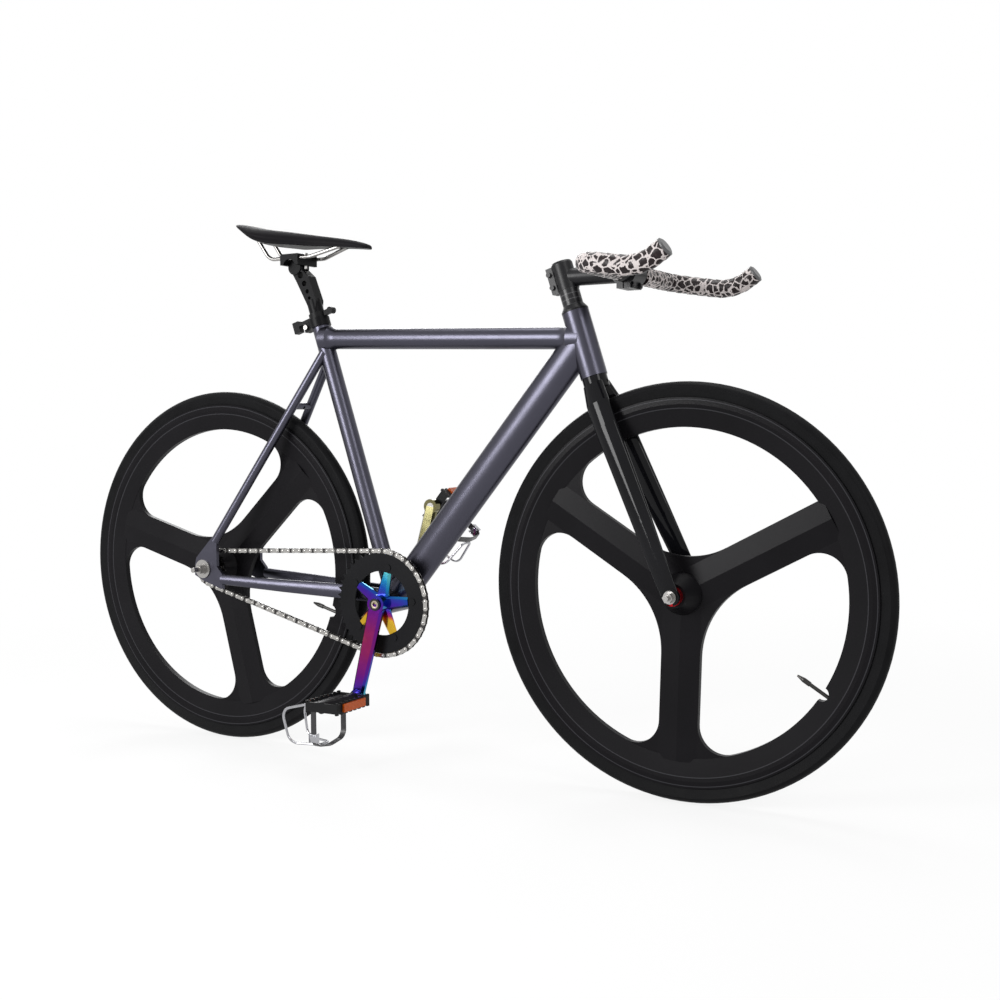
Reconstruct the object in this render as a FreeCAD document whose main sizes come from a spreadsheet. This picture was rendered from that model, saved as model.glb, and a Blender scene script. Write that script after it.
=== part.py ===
import FreeCAD, Part
import Sketcher
import math
import os
from types import SimpleNamespace

# A fixed gear track bicycle: +X is forward, +Y is the rider's left, +Z is up.
# The origin lies on the ground, midway between the two axles.

Vector = FreeCAD.Vector
doc = FreeCAD.newDocument("FixedGearBicycle")
sheet = doc.addObject("Spreadsheet::Sheet", "Sizes")

# Every driving size in millimetres, degrees or counts, grouped by the piece that carries it.
SIZES = {
    # stance
    "wheelbase": 944.0,
    "tyre_radius": 336.0,
    "head_angle": 72.4,
    "seat_angle": 72.4,
    "bracket_drop": 44.5,
    "fork_rake": 43.4,
    "axle_to_crown": 372.0,
    # clearances
    "running_gap": 0.3,
    "shaft_fit": 0.05,
    "cut_overrun": 5.0,
    # chain and sprockets
    "ring_teeth": 46,
    "cog_teeth": 16,
    "chain_links": 94,
    "chain_pitch": 12.7,
    "chain_line": 43.0,
    "roller_radius": 3.85,
    "roller_seat_gap": 0.35,
    "tooth_rise": 1.9,
    "tooth_thickness": 2.8,
    "chain_inner_width": 3.5,
    "link_plate_thickness": 1.2,
    "link_plate_gap": 0.12,
    "link_plate_radius": 4.3,
    # frame tubes
    "head_tube_length": 112.0,
    "head_tube_diameter": 45.0,
    "head_bore_diameter": 37.0,
    "lower_stack": 5.0,
    "seat_tube_length": 535.0,
    "seat_tube_diameter": 31.8,
    "top_tube_diameter": 37.0,
    "top_tube_drop_seat": 39.0,
    "top_tube_drop_head": 45.0,
    "down_tube_depth": 58.0,
    "down_tube_width": 42.0,
    "down_tube_drop_head": 47.0,
    "tube_wall": 2.2,
    "weld_reach": 17.0,
    "weld_rise": 5.0,
    "bracket_shell_diameter": 42.0,
    "bracket_shell_width": 68.0,
    "bracket_bore_diameter": 34.0,
    # stays
    "chain_stay_height": 27.0,
    "chain_stay_width": 15.0,
    "chain_stay_lift": 9.0,
    "chain_stay_start": 21.0,
    "chain_stay_waist": 26.0,
    "seat_stay_diameter": 16.5,
    "seat_stay_join": 470.0,
    "seat_stay_spread": 11.0,
    "bridge_diameter": 13.0,
    "bridge_clearance": 24.0,
    "brake_bolt_bore": 6.2,
    # track ends
    "rear_hub_width": 120.0,
    "track_end_thickness": 7.0,
    "track_end_reach": 46.0,
    "track_end_rise": 62.0,
    "track_end_tail": 21.0,
    "track_slot_depth": 12.0,
    # rear axle hardware
    "rear_axle_diameter": 10.0,
    "rear_axle_overhang": 29.0,
    "rear_washer_diameter": 35.0,
    "rear_washer_thickness": 2.6,
    "axle_nut_flats": 15.0,
    "axle_nut_height": 9.0,
    "axle_end_relief": 0.2,
    "nut_flange_height": 2.5,
    "nut_flange_diameter": 21.0,
    "rear_locknut_diameter": 22.0,
    # fork
    "steerer_diameter": 28.6,
    "crown_diameter": 42.0,
    "crown_height": 15.0,
    "race_height": 4.6,
    "blade_depth": 38.0,
    "blade_width": 22.0,
    "front_hub_width": 100.0,
    "fork_end_thickness": 8.0,
    "fork_end_diameter": 29.0,
    "front_axle_diameter": 9.0,
    "front_axle_overhang": 19.0,
    "red_locknut_diameter": 30.0,
    "red_locknut_thickness": 9.0,
    "crown_bolt_bore": 6.2,
    # headset and cockpit
    "bearing_height": 8.0,
    "cover_height": 11.0,
    "cover_top_diameter": 35.0,
    "spacer_diameter": 34.0,
    "spacer_height": 9.0,
    "spacer_count": 3,
    "stem_clamp_height": 44.0,
    "stem_clamp_diameter": 36.5,
    "stem_reach": 114.0,
    "stem_tube_diameter": 30.0,
    "stem_bar_clamp_diameter": 43.0,
    "stem_bar_clamp_width": 45.0,
    "faceplate_gap": 2.0,
    "top_cap_height": 3.5,
    "stem_bolt_diameter": 8.0,
    "stem_bolt_length": 30.0,
    "stem_lug_reach": 8.0,
    "bar_clamp_diameter": 31.8,
    "bar_diameter": 24.0,
    "bar_half_width": 200.0,
    "bar_corner_radius": 45.0,
    "bar_arm_fall": 9.0,
    "bar_tip_rise": 35.0,
    "bar_arm_length": 40.0,
    "bar_tip_radius": 55.0,
    "bar_tip_length": 22.0,
    "bar_bulge_half": 32.0,
    "bar_taper": 14.0,
    "tape_thickness": 3.2,
    "plug_cap_height": 4.0,
    "plug_depth": 14.0,
    # seat post and its clamp
    "post_diameter": 27.2,
    "post_insert": 110.0,
    "post_round_above": 14.0,
    "post_blade_width": 23.0,
    "post_head_rise": 100.0,
    "post_setback": 14.0,
    "post_head_depth": 41.0,
    "post_hole_size": 9.0,
    "collar_height": 16.0,
    "collar_wall": 3.6,
    "collar_lug_reach": 12.0,
    "collar_lug_width": 16.0,
    "collar_split": 2.0,
    "collar_bolt_diameter": 5.0,
    "bracket_band_height": 10.0,
    "bracket_band_wall": 2.6,
    "bracket_arm_length": 40.0,
    "bracket_arm_width": 13.0,
    "bracket_arm_thickness": 6.0,
    "bracket_block_length": 13.0,
    "bracket_block_height": 21.0,
    # saddle
    "saddle_length": 282.0,
    "saddle_half_width": 66.0,
    "saddle_tail_behind": 120.0,
    "saddle_nose_above": 11.0,
    "saddle_tail_above": 71.0,
    "saddle_skirt": 30.0,
    "saddle_shell_drop": 2.0,
    "rail_diameter": 7.0,
    "rail_half_gauge": 22.0,
    "rail_nose_gauge": 11.0,
    "rail_above_head": 16.2,
    "rail_bend_radius": 24.0,
    "cradle_length": 40.0,
    "cradle_height": 13.0,
    "rail_cap_height": 7.0,
    "clamp_bolt_diameter": 6.0,
    # wheels
    "rim_edge_radius": 311.0,
    "rim_width": 23.0,
    "rim_depth": 47.0,
    "rim_nose_width": 11.0,
    "brake_track": 11.0,
    "spoke_width": 66.0,
    "spoke_crease": 10.0,
    "spoke_edge": 5.0,
    "window_hub_radius": 140.0,
    "window_rim_radius": 42.0,
    "front_spoke_angle": 28.0,
    "rear_spoke_angle": 44.0,
    "hub_shoulder_radius": 34.0,
    "hub_end_radius": 19.0,
    "front_hub_half": 40.6,
    "rear_hub_half": 49.0,
    "hub_bearing_radius": 14.0,
    "hub_bearing_width": 11.0,
    "hub_core_lip": 5.0,
    "tyre_width": 25.0,
    "tyre_seat_width": 18.0,
    "valve_length": 46.0,
    "valve_radius": 3.0,
    "valve_cap_radius": 3.9,
    "valve_notch_radius": 11.0,
    # cog carrier
    "cog_carrier_radius": 27.0,
    "cog_carrier_thickness": 7.0,
    "cog_spigot_radius": 17.5,
    "cog_bolt_circle": 45.6,
    "cog_bolt_count": 6,
    "cog_bolt_diameter": 5.0,
    "cog_bolt_head": 3.0,
    "cog_bolt_head_flats": 7.0,
    # cranks
    "crank_length": 170.0,
    "crank_angle": 12.5,
    "crank_gap": 50.0,
    "crank_thickness": 13.5,
    "crank_flare": 11.0,
    "crank_root_width": 31.0,
    "crank_eye_radius": 13.5,
    "crank_edge": 4.0,
    "crank_boss_radius": 17.0,
    "crank_boss_start": 37.0,
    "spindle_diameter": 17.0,
    "crank_bolt_radius": 11.0,
    "crank_bolt_depth": 3.0,
    "crank_hex_radius": 4.5,
    "bolt_circle_radius": 65.0,
    "spider_root_width": 25.0,
    "spider_tip_width": 15.0,
    "spider_tab_thickness": 4.5,
    "spider_arms": 5,
    "ring_inner_radius": 57.0,
    "ring_bolt_radius": 5.0,
    "ring_bolt_head_radius": 6.5,
    "ring_bolt_head": 1.6,
    # pedals
    "pedal_axle_radius": 5.5,
    "pedal_collar_radius": 9.5,
    "pedal_collar_length": 5.0,
    "pedal_stub_radius": 7.0,
    "pedal_width": 96.0,
    "pedal_length": 66.0,
    "pedal_height": 21.0,
    "pedal_plate": 4.0,
    "pedal_barrel_radius": 10.0,
    "pedal_notch": 5.0,
    "pedal_notch_count": 7,
    "reflector_length": 62.0,
    "reflector_height": 14.0,
    "reflector_thickness": 4.0,
    "clip_wire_radius": 2.2,
    "right_pedal_tilt": 0.0,
    "left_pedal_tilt": -50.0,
    "clip_reach": 66.0,
    "clip_half_width": 26.0,
    "clip_drop": 74.0,
    "clip_bend": 20.0,
    "strap_offset": 20.0,
    "strap_width": 11.0,
    "strap_thickness": 2.4,
    "strap_depth": 76.0,
    "strap_bend": 13.0,
    "buckle_height": 16.0,
    "buckle_wall": 3.0,
}


def text_of(number):
    """Formula of a number for the sheet: a reference where it has one."""
    return number.text if isinstance(number, Length) else repr(float(number))


class Length(float):
    """A number that remembers the sheet formula it comes from."""

    def __new__(cls, value, text):
        made = float.__new__(cls, value)
        made.text = text
        return made

    def __add__(self, other):
        return Length(float(self) + float(other), "(%s + %s)" % (text_of(self), text_of(other)))

    def __radd__(self, other):
        return Length(float(other) + float(self), "(%s + %s)" % (text_of(other), text_of(self)))

    def __sub__(self, other):
        return Length(float(self) - float(other), "(%s - %s)" % (text_of(self), text_of(other)))

    def __rsub__(self, other):
        return Length(float(other) - float(self), "(%s - %s)" % (text_of(other), text_of(self)))

    def __mul__(self, other):
        return Length(float(self) * float(other), "(%s * %s)" % (text_of(self), text_of(other)))

    def __rmul__(self, other):
        return Length(float(other) * float(self), "(%s * %s)" % (text_of(other), text_of(self)))

    def __truediv__(self, other):
        return Length(float(self) / float(other), "(%s / %s)" % (text_of(self), text_of(other)))

    def __neg__(self):
        return Length(-float(self), "(0 - %s)" % text_of(self))


for row, (alias, value) in enumerate(SIZES.items(), 1):
    sheet.set("A%d" % row, alias)
    sheet.set("B%d" % row, str(value))
    sheet.setAlias("B%d" % row, alias)
doc.recompute()
s = SimpleNamespace(**{alias: Length(sheet.get(alias), "Sizes." + alias) for alias in SIZES})

NODES = []
oval_share = 0.8
UP = Vector(0, 0, 1)
LEFT = Vector(0, 1, 0)
RIGHT = Vector(0, -1, 0)
FORWARD = Vector(1, 0, 0)


def node(thing, label):
    """Names a finished sub-part and keeps it for writing."""
    thing.Label = label
    NODES.append(thing)
    return thing


def bind(thing, **sizes):
    """Ties properties of an object to the sheet."""
    for name, value in sizes.items():
        thing.setExpression(name, text_of(value))
    return thing


def lying(base, direction):
    """Placement that stands a shape's own Z axis along a direction."""
    return FreeCAD.Placement(base, FreeCAD.Rotation(UP, direction))


def cylinder(name, radius, height, base, direction):
    """Round bar from a base point along a direction."""
    made = doc.addObject("Part::Cylinder", name)
    bind(made, Radius=radius, Height=height)
    made.Placement = lying(base, direction)
    return made


def box(name, length, width, height, base, turn=FreeCAD.Rotation()):
    """Block from one corner, turned about that corner."""
    made = doc.addObject("Part::Box", name)
    bind(made, Length=length, Width=width, Height=height)
    made.Placement = FreeCAD.Placement(base, turn)
    return made


def feature(name, shape):
    """Shape made with Part's own functions."""
    made = doc.addObject("Part::Feature", name)
    made.Shape = shape
    return made


def fused(name, pieces):
    """Pieces joined into one solid."""
    made = doc.addObject("Part::MultiFuse", name)
    made.Shapes = pieces
    made.Refine = True
    return made


def cut(name, base, tools):
    """Base with every tool taken away."""
    made = doc.addObject("Part::Cut", name)
    made.Base = base
    made.Tool = tools[0] if len(tools) == 1 else fused(name + "Tools", tools)
    made.Refine = True
    return made


def compound(name, pieces):
    """Loose copies of one kind of piece kept in one node."""
    made = doc.addObject("Part::Compound", name)
    made.Links = pieces
    return made


def outline(sketch, corners, rounds=()):
    """Closed outline tied to the sheet: rounds are arcs, by edge number, radius and middle point."""
    count = len(corners)
    arcs = {index: (radius, middle) for index, radius, middle in rounds}
    starts = []
    for index in range(count):
        here = Vector(corners[index][0], corners[index][1], 0)
        there = Vector(corners[(index + 1) % count][0], corners[(index + 1) % count][1], 0)
        if index in arcs:
            middle = Vector(arcs[index][1][0], arcs[index][1][1], 0)
            sketch.addGeometry(Part.Arc(here, middle, there))
            first = sketch.Geometry[index].StartPoint
            starts.append(1 if (first - here).Length < (first - there).Length else 2)
        else:
            sketch.addGeometry(Part.LineSegment(here, there))
            starts.append(1)
    for index in range(count):
        after = (index + 1) % count
        sketch.addConstraint(
            Sketcher.Constraint("Coincident", index, 3 - starts[index], after, starts[after]))
    for index, corner in enumerate(corners):
        for kind, value, axis in (("DistanceX", corner[0], -2), ("DistanceY", corner[1], -1)):
            if float(value) == 0:
                sketch.addConstraint(Sketcher.Constraint("PointOnObject", index, starts[index], axis))
            else:
                made = sketch.addConstraint(
                    Sketcher.Constraint(kind, -1, 1, index, starts[index], float(value)))
                sketch.setExpression("Constraints[%d]" % made, text_of(value))
    for index, (radius, middle) in arcs.items():
        made = sketch.addConstraint(Sketcher.Constraint("Radius", index, float(radius)))
        sketch.setExpression("Constraints[%d]" % made, text_of(radius))


def sketched(label, role, corners, rounds=()):
    """Body with one sketch on an origin plane."""
    body = doc.addObject("PartDesign::Body", label)
    sketch = body.newObject("Sketcher::SketchObject", label + "Outline")
    plane = next(part for part in body.Origin.OriginFeatures if part.Role == role)
    sketch.AttachmentSupport = [(plane, "")]
    sketch.MapMode = "FlatFace"
    outline(sketch, corners, rounds)
    return body, sketch


def turned(label, corners, base, direction, rounds=()):
    """Lathe-turned piece: corners are radius and height along the direction."""
    body, sketch = sketched(label, "XZ_Plane", corners, rounds)
    spin = body.newObject("PartDesign::Revolution", label + "Turn")
    spin.Profile = sketch
    spin.ReferenceAxis = (sketch, ["V_Axis"])
    spin.Angle = 360
    body.Placement = lying(base, direction)
    return body


def plate(label, corners, thickness, base, turn=FreeCAD.Rotation()):
    """Flat piece drawn in its own XY plane and padded along its own Z."""
    body, sketch = sketched(label, "XY_Plane", corners)
    pad = body.newObject("PartDesign::Pad", label + "Pad")
    pad.Profile = sketch
    bind(pad, Length=thickness)
    body.Placement = FreeCAD.Placement(base, turn)
    return body


def hexagon(flats):
    """Corners of a hexagon from its width across flats."""
    side = flats / math.sqrt(3)
    half = flats / 2
    return [
        (side, 0),
        (side / 2, half),
        (-side / 2, half),
        (-side, 0),
        (-side / 2, -half),
        (side / 2, -half),
    ]


def oval_wire(centre, along, half_y, half_n):
    """Oval of four arcs square to a direction: one half axis along Y, the other across."""
    across = LEFT.cross(along)
    longer, shorter = max(half_y, half_n), min(half_y, half_n)
    end_radius = shorter * (shorter / longer) ** oval_share
    join = Vector(1, 1, 0)
    if end_radius < shorter:
        side_radius = longer ** 2 + shorter ** 2 - 2 * longer * end_radius
        side_radius = side_radius / (2 * (shorter - end_radius))
        join = Vector(longer - end_radius, side_radius - shorter, 0)
    join = Vector(longer - end_radius, 0, 0) + join.normalize() * end_radius
    y, n = (join.x, join.y) if half_y >= half_n else (join.y, join.x)

    def at(side, rise):
        """Point of the oval from its two offsets."""
        return centre + LEFT * side + across * rise

    arcs = [
        Part.Arc(at(y, n), at(0, half_n), at(-y, n)),
        Part.Arc(at(-y, n), at(-half_y, 0), at(-y, -n)),
        Part.Arc(at(-y, -n), at(0, -half_n), at(y, -n)),
        Part.Arc(at(y, -n), at(half_y, 0), at(y, n)),
    ]
    return Part.Wire([arc.toShape() for arc in arcs])


def bent_path(points, radii):
    """Straight runs joined by tangent arcs at the inner points."""
    edges = []
    here = points[0]
    for index in range(1, len(points) - 1):
        corner, after = points[index], points[index + 1]
        come = (corner - here).normalize()
        leave = (after - corner).normalize()
        turn = come.getAngle(leave)
        back = radii[index - 1] * math.tan(turn / 2)
        start, end = corner - come * back, corner + leave * back
        inward = (leave - come).normalize()
        middle = corner + inward * (radii[index - 1] / math.cos(turn / 2) - radii[index - 1])
        edges.append(Part.LineSegment(here, start).toShape())
        edges.append(Part.Arc(start, middle, end).toShape())
        here = end
    edges.append(Part.LineSegment(here, points[-1]).toShape())
    return Part.Wire(edges)


def piped(path, radius):
    """Round rod swept along a path."""
    start = path.Edges[0].valueAt(path.Edges[0].FirstParameter)
    ahead = path.Edges[0].tangentAt(path.Edges[0].FirstParameter)
    ring = Part.Wire([Part.Circle(start, ahead, radius).toShape()])
    return path.makePipeShell([ring], True, True)


# Places that several pieces share.
head = math.radians(s.head_angle)
seat = math.radians(s.seat_angle)
rear_axle_at = Vector(-s.wheelbase / 2, 0, s.tyre_radius)
front_axle_at = Vector(s.wheelbase / 2, 0, s.tyre_radius)
head_up = Vector(-math.cos(head), 0, math.sin(head))
head_fore = Vector(math.sin(head), 0, math.cos(head))
seat_up = Vector(-math.cos(seat), 0, math.sin(seat))
seat_back = Vector(-math.sin(seat), 0, -math.cos(seat))
steer_foot = front_axle_at - head_fore * s.fork_rake


def on_head(distance):
    """Point on the steering axis, measured up from beside the front axle."""
    return steer_foot + head_up * distance


# Chain: the pins sit in whole teeth on both sprockets, and the axle distance follows from the links.
pitch = s.chain_pitch
ring_teeth = int(s.ring_teeth)
cog_teeth = int(s.cog_teeth)
ring_pitch_radius = pitch / (2 * math.sin(math.pi / ring_teeth))
cog_pitch_radius = pitch / (2 * math.sin(math.pi / cog_teeth))
ring_step = 2 * math.pi / ring_teeth
cog_step = 2 * math.pi / cog_teeth
run_guess = pitch * (s.chain_links - ring_teeth / 2 - cog_teeth / 2) / 2
lean = math.asin((ring_pitch_radius - cog_pitch_radius) / run_guess)
ring_wrap = round((math.pi + 2 * lean) / ring_step)
cog_wrap = round((math.pi - 2 * lean) / cog_step)
if (ring_wrap + cog_wrap + int(s.chain_links)) % 2:
    cog_wrap += 1
run_links = (int(s.chain_links) - ring_wrap - cog_wrap) // 2
ring_end = ring_wrap * ring_step / 2
cog_end = cog_wrap * cog_step / 2
rise = ring_pitch_radius * math.sin(ring_end) - cog_pitch_radius * math.sin(cog_end)
chain_centres = math.sqrt((run_links * pitch) ** 2 - rise ** 2)
chain_centres -= ring_pitch_radius * math.cos(ring_end) + cog_pitch_radius * math.cos(cog_end)
bracket_at = rear_axle_at + Vector(math.sqrt(chain_centres ** 2 - s.bracket_drop ** 2), 0, -s.bracket_drop)
chain_tilt = -math.asin(s.bracket_drop / chain_centres)


def on_seat(distance):
    """Point on the seat tube's axis, measured up from the bottom bracket."""
    return bracket_at + seat_up * distance


head_low = s.axle_to_crown + s.lower_stack
head_top = head_low + s.head_tube_length
seat_top = s.seat_tube_length


def polar(centre, radius, angle):
    """Point in a wheel's plane."""
    return centre + Vector(radius * math.cos(angle), 0, radius * math.sin(angle))


# Frame: tubes with flared ends, each coped to the tubes that it is welded to.
def flared_tube(start, end, radius, start_skin, end_skin):
    """Round tube whose ends open out where they meet the skins of other tubes."""
    length = (end - start).Length
    reach, growth = float(s.weld_reach), float(s.weld_rise)
    bend = (growth ** 2 + reach ** 2) / (2 * growth)
    half = math.asin(reach / bend) / 2
    sag = radius + bend * (1 - math.cos(half))
    low, high = start_skin + reach, length - end_skin - reach
    step = bend * math.sin(half)
    points = [Vector(0, 0, 0), Vector(radius + growth, 0, 0), Vector(radius + growth, 0, start_skin)]
    edges = [
        Part.LineSegment(points[0], points[1]).toShape(),
        Part.LineSegment(points[1], points[2]).toShape(),
    ]
    first = Part.Arc(points[2], Vector(sag, 0, low - step), Vector(radius, 0, low))
    lip = Vector(radius + growth, 0, length - end_skin)
    second = Part.Arc(Vector(radius, 0, high), Vector(sag, 0, high + step), lip)
    edges += [first.toShape(), Part.LineSegment(Vector(radius, 0, low), Vector(radius, 0, high)).toShape()]
    edges += [second.toShape()]
    tip = Vector(radius + growth, 0, length)
    edges += [Part.LineSegment(lip, tip).toShape()]
    edges += [Part.LineSegment(tip, Vector(0, 0, length)).toShape()]
    edges += [Part.LineSegment(Vector(0, 0, length), points[0]).toShape()]
    tube = Part.Face(Part.Wire(edges)).revolve(Vector(0, 0, 0), UP, 360)
    tube.Placement = lying(start, end - start)
    return tube


def lofted(stations):
    """Tapering tube through ovals: each station is a centre, a direction and two half axes."""
    return Part.makeLoft([oval_wire(*station) for station in stations], True, True)


head_tube_radius = s.head_tube_diameter / 2
seat_tube_radius = s.seat_tube_diameter / 2
top_tube_radius = s.top_tube_diameter / 2
bracket_shell_radius = s.bracket_shell_diameter / 2
head_tube = cylinder("HeadTube", head_tube_radius, s.head_tube_length, on_head(head_low), head_up)
seat_tube = cylinder("SeatTube", seat_tube_radius, s.seat_tube_length, bracket_at, seat_up)
bracket_shell = cylinder("BracketShell", bracket_shell_radius, s.bracket_shell_width,
                         bracket_at - LEFT * (s.bracket_shell_width / 2), LEFT)
top_start = on_seat(seat_top - s.top_tube_drop_seat)
top_end = on_head(head_top - s.top_tube_drop_head)
top_tube = feature("TopTube", flared_tube(top_start, top_end, float(top_tube_radius), float(seat_tube_radius),
                                          float(head_tube_radius)))
top_way = (top_end - top_start).normalize()
top_hollow = cylinder("TopHollow", top_tube_radius - s.tube_wall,
                      (top_end - top_start).Length - 2 * (seat_tube_radius + s.weld_reach) - s.weld_reach,
                      top_start + top_way * (seat_tube_radius + s.weld_reach), top_way)

# The down tube is a deep oval, slim enough to meet the head tube.
down_end = on_head(head_top - s.down_tube_drop_head)
down_run = down_end - bracket_at
down_way = Vector(down_run).normalize()
down_radius = s.down_tube_depth / 2
down_half = s.down_tube_width / 2


def oval_bar(base, run, half_width, half_depth):
    """Straight oval bar."""
    return Part.Face(oval_wire(base, Vector(run).normalize(), half_width, half_depth)).extrude(run)


down_start = bracket_at + down_way * (bracket_shell_radius / 2)
down_tube = feature("DownTube", oval_bar(down_start, down_end - down_start, down_half, down_radius))
hollow_start = bracket_at + down_way * (bracket_shell_radius + s.weld_reach)
hollow_run = down_way * (down_run.Length - bracket_shell_radius - head_tube_radius - 3 * s.weld_reach)
down_hollow = feature("DownHollow", oval_bar(hollow_start, hollow_run, down_half - s.tube_wall,
                                             down_radius - s.tube_wall))

# Track ends: plates with an open slot at the rear, from shares of their reach, rise and tail.
track_inner = s.rear_hub_width / 2
track_middle = track_inner + s.track_end_thickness / 2
slot_half = s.rear_axle_diameter / 2 + s.shaft_fit
reach, lift, tail = s.track_end_reach, s.track_end_rise, s.track_end_tail
crest_back_share, crest_front_share = 0.52, 0.8
throat_share, throat_low_share = 0.72, 0.1
heel_share, sole_share, foot_share = 0.13, 0.35, 0.6
track_corners = [
    (-tail, -tail * foot_share),
    (-tail, -slot_half),
    (s.track_slot_depth, -slot_half),
    (s.track_slot_depth, slot_half),
    (-tail, slot_half),
    (-tail * crest_front_share, tail),
    (reach * crest_back_share, lift),
    (reach * crest_front_share, lift),
    (reach * throat_share, lift * throat_share),
    (reach * throat_share, lift * throat_low_share),
    (reach, -lift * heel_share),
    (reach, -lift * foot_share),
    (-tail * throat_low_share, -lift * sole_share),
]
upright = FreeCAD.Rotation(FORWARD, 90)
track_ends = []
for side in (-1, 1):
    far = track_inner + s.track_end_thickness if side > 0 else -track_inner
    track_name = "TrackEndLeft" if side > 0 else "TrackEndRight"
    track_ends.append(plate(track_name, track_corners, s.track_end_thickness,
                            rear_axle_at + LEFT * far, upright))

# Chain stays run close to the tyre past the chainring and spread to the track ends.
stay_reach_share, stay_drop_share, stay_spread_share = 0.93, 0.3, 0.53
stay_low = rear_axle_at + Vector(reach * stay_reach_share, 0, -lift * stay_drop_share)
stay_high = bracket_at + UP * s.chain_stay_lift
stay_shares = (0.0, 0.3, 0.62, 1.0)
stay_bend = (s.chain_stay_waist + track_middle) * stay_spread_share
stay_spreads = (s.chain_stay_start, s.chain_stay_waist, stay_bend, track_middle)
stay_width_shares = (1.0, 0.95, 0.95, 0.9)
stay_height_shares = (1.05, 1.0, 0.86, 0.7)
stays = []
for side in (-1, 1):
    stations = []
    way = (stay_low - stay_high).normalize()
    for share, spread, wide, high in zip(stay_shares, stay_spreads, stay_width_shares, stay_height_shares):
        centre = stay_high + (stay_low - stay_high) * share + LEFT * (side * spread)
        stations.append((centre, way, s.chain_stay_width / 2 * wide, s.chain_stay_height / 2 * high))
    stays.append(feature("ChainStay", lofted(stations)))

# Seat stays rise from the track ends to the seat tube, with a bridge that carries a brake bolt hole.
seat_stay_radius = s.seat_stay_diameter / 2
stay_lift_share = 0.86
stay_foot = rear_axle_at + Vector(reach * foot_share, 0, lift * stay_lift_share)
stay_top = on_seat(s.seat_stay_join)
seat_stay_ends = {}
for side in (-1, 1):
    foot = stay_foot + LEFT * (side * track_middle)
    top = stay_top + LEFT * (side * s.seat_stay_spread)
    seat_stay_ends[side] = (foot, top)
    stays.append(cylinder("SeatStay", seat_stay_radius, (top - foot).Length, foot, top - foot))
foot, top = seat_stay_ends[1]
flat_way = Vector((top - foot).x, 0, (top - foot).z).normalize()
bridge_out = s.tyre_radius + s.bridge_clearance
bridge_step_share = 0.001
stay_run = top - foot
share = 0.0
while (foot + stay_run * share - LEFT * (foot + stay_run * share).y - rear_axle_at).Length < bridge_out:
    share += bridge_step_share
bridge_at = foot + stay_run * share
bridge_half = Length(bridge_at.y, repr(bridge_at.y))
bridge_at = Vector(bridge_at.x, 0, bridge_at.z)
bridge = cylinder("Bridge", s.bridge_diameter / 2, 2 * bridge_half, bridge_at - LEFT * bridge_half, LEFT)
bridge_across = LEFT.cross(flat_way)
bridge_bore = cylinder("BridgeBore", s.brake_bolt_bore / 2, s.bridge_diameter * 2,
                       bridge_at - bridge_across * s.bridge_diameter, bridge_across)

overrun = s.cut_overrun
head_bore = cylinder("HeadBore", s.head_bore_diameter / 2, s.head_tube_length + 2 * overrun,
                     on_head(head_low - overrun), head_up)
post_bore_radius = s.post_diameter / 2 + s.shaft_fit
post_bore_low = down_radius + s.weld_reach
post_bore = cylinder("PostBore", post_bore_radius, s.seat_tube_length - post_bore_low + overrun,
                     on_seat(post_bore_low), seat_up)
bracket_bore = cylinder("BracketBore", s.bracket_bore_diameter / 2, s.bracket_shell_width + 2 * overrun,
                        bracket_at - LEFT * (s.bracket_shell_width / 2 + overrun), LEFT)
chain_stays, seat_stays = stays[:2], stays[2:]
frame_tubes = [
    cut("ShellBored", bracket_shell, [bracket_bore]),
    cut("HeadTubeBored", head_tube, [head_bore]),
    cut("SeatTubeCoped", seat_tube, [bracket_shell, post_bore]),
    cut("TopTubeCoped", top_tube, [head_tube, seat_tube, top_hollow]),
    cut("DownTubeCoped", down_tube, [head_tube, top_tube, seat_tube, bracket_shell, down_hollow]),
    cut("BridgeCoped", bridge, seat_stays + [bridge_bore]),
] + track_ends
for index, track_end in enumerate(track_ends):
    frame_tubes.append(cut("ChainStayCoped%d" % index, chain_stays[index],
                           [bracket_shell, seat_tube, down_tube, track_end]))
    frame_tubes.append(cut("SeatStayCoped%d" % index, seat_stays[index], [seat_tube, top_tube, track_end]))
node(compound("Frame", frame_tubes), "frame")

# Headset: two bearings in the head tube, the steerer runs in them.
steerer_radius = s.steerer_diameter / 2
bearing_corners = [
    (steerer_radius + s.shaft_fit, 0),
    (s.head_bore_diameter / 2, 0),
    (s.head_bore_diameter / 2, s.bearing_height),
    (steerer_radius + s.shaft_fit, s.bearing_height),
]
node(compound("HeadsetBearings", [
    turned("LowerBearing", bearing_corners, on_head(head_low), head_up),
    turned("UpperBearing", bearing_corners, on_head(head_top - s.bearing_height), head_up),
]), "headset_bearings")

# Fork: steerer, crown with its race, two bladed legs and slotted ends.
cover_low = head_top + s.running_gap
spacers_low = cover_low + s.cover_height
stem_low = spacers_low + s.spacer_count * s.spacer_height
stem_top = stem_low + s.stem_clamp_height
crown_low = s.axle_to_crown - s.crown_height
steerer = cylinder("Steerer", steerer_radius, stem_top - crown_low - s.top_cap_height,
                   on_head(crown_low), head_up)
crown = cylinder("Crown", s.crown_diameter / 2, s.crown_height, on_head(crown_low), head_up)
race = cylinder("Race", s.crown_diameter / 2, s.race_height, on_head(s.axle_to_crown), head_up)
leg_top = on_head(crown_low + s.crown_height / 2)
leg_run = front_axle_at - leg_top
leg_way = Vector(leg_run).normalize()
fork_end_middle = s.front_hub_width / 2 + s.fork_end_thickness / 2
blade_station_shares = (0.0, 0.09, 0.2, 0.6, 0.92, 1.0)
blade_end_share = s.fork_end_thickness / s.blade_width
blade_width_shares = (1.1, 1.02, 0.95, 0.74, blade_end_share, blade_end_share)
blade_depth_shares = (0.92, 1.08, 1.07, 0.96, 0.8, 0.74)
blade_spread_shares = (0.25, 0.46, 0.56, 0.78, 1.0, 1.0)
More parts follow.
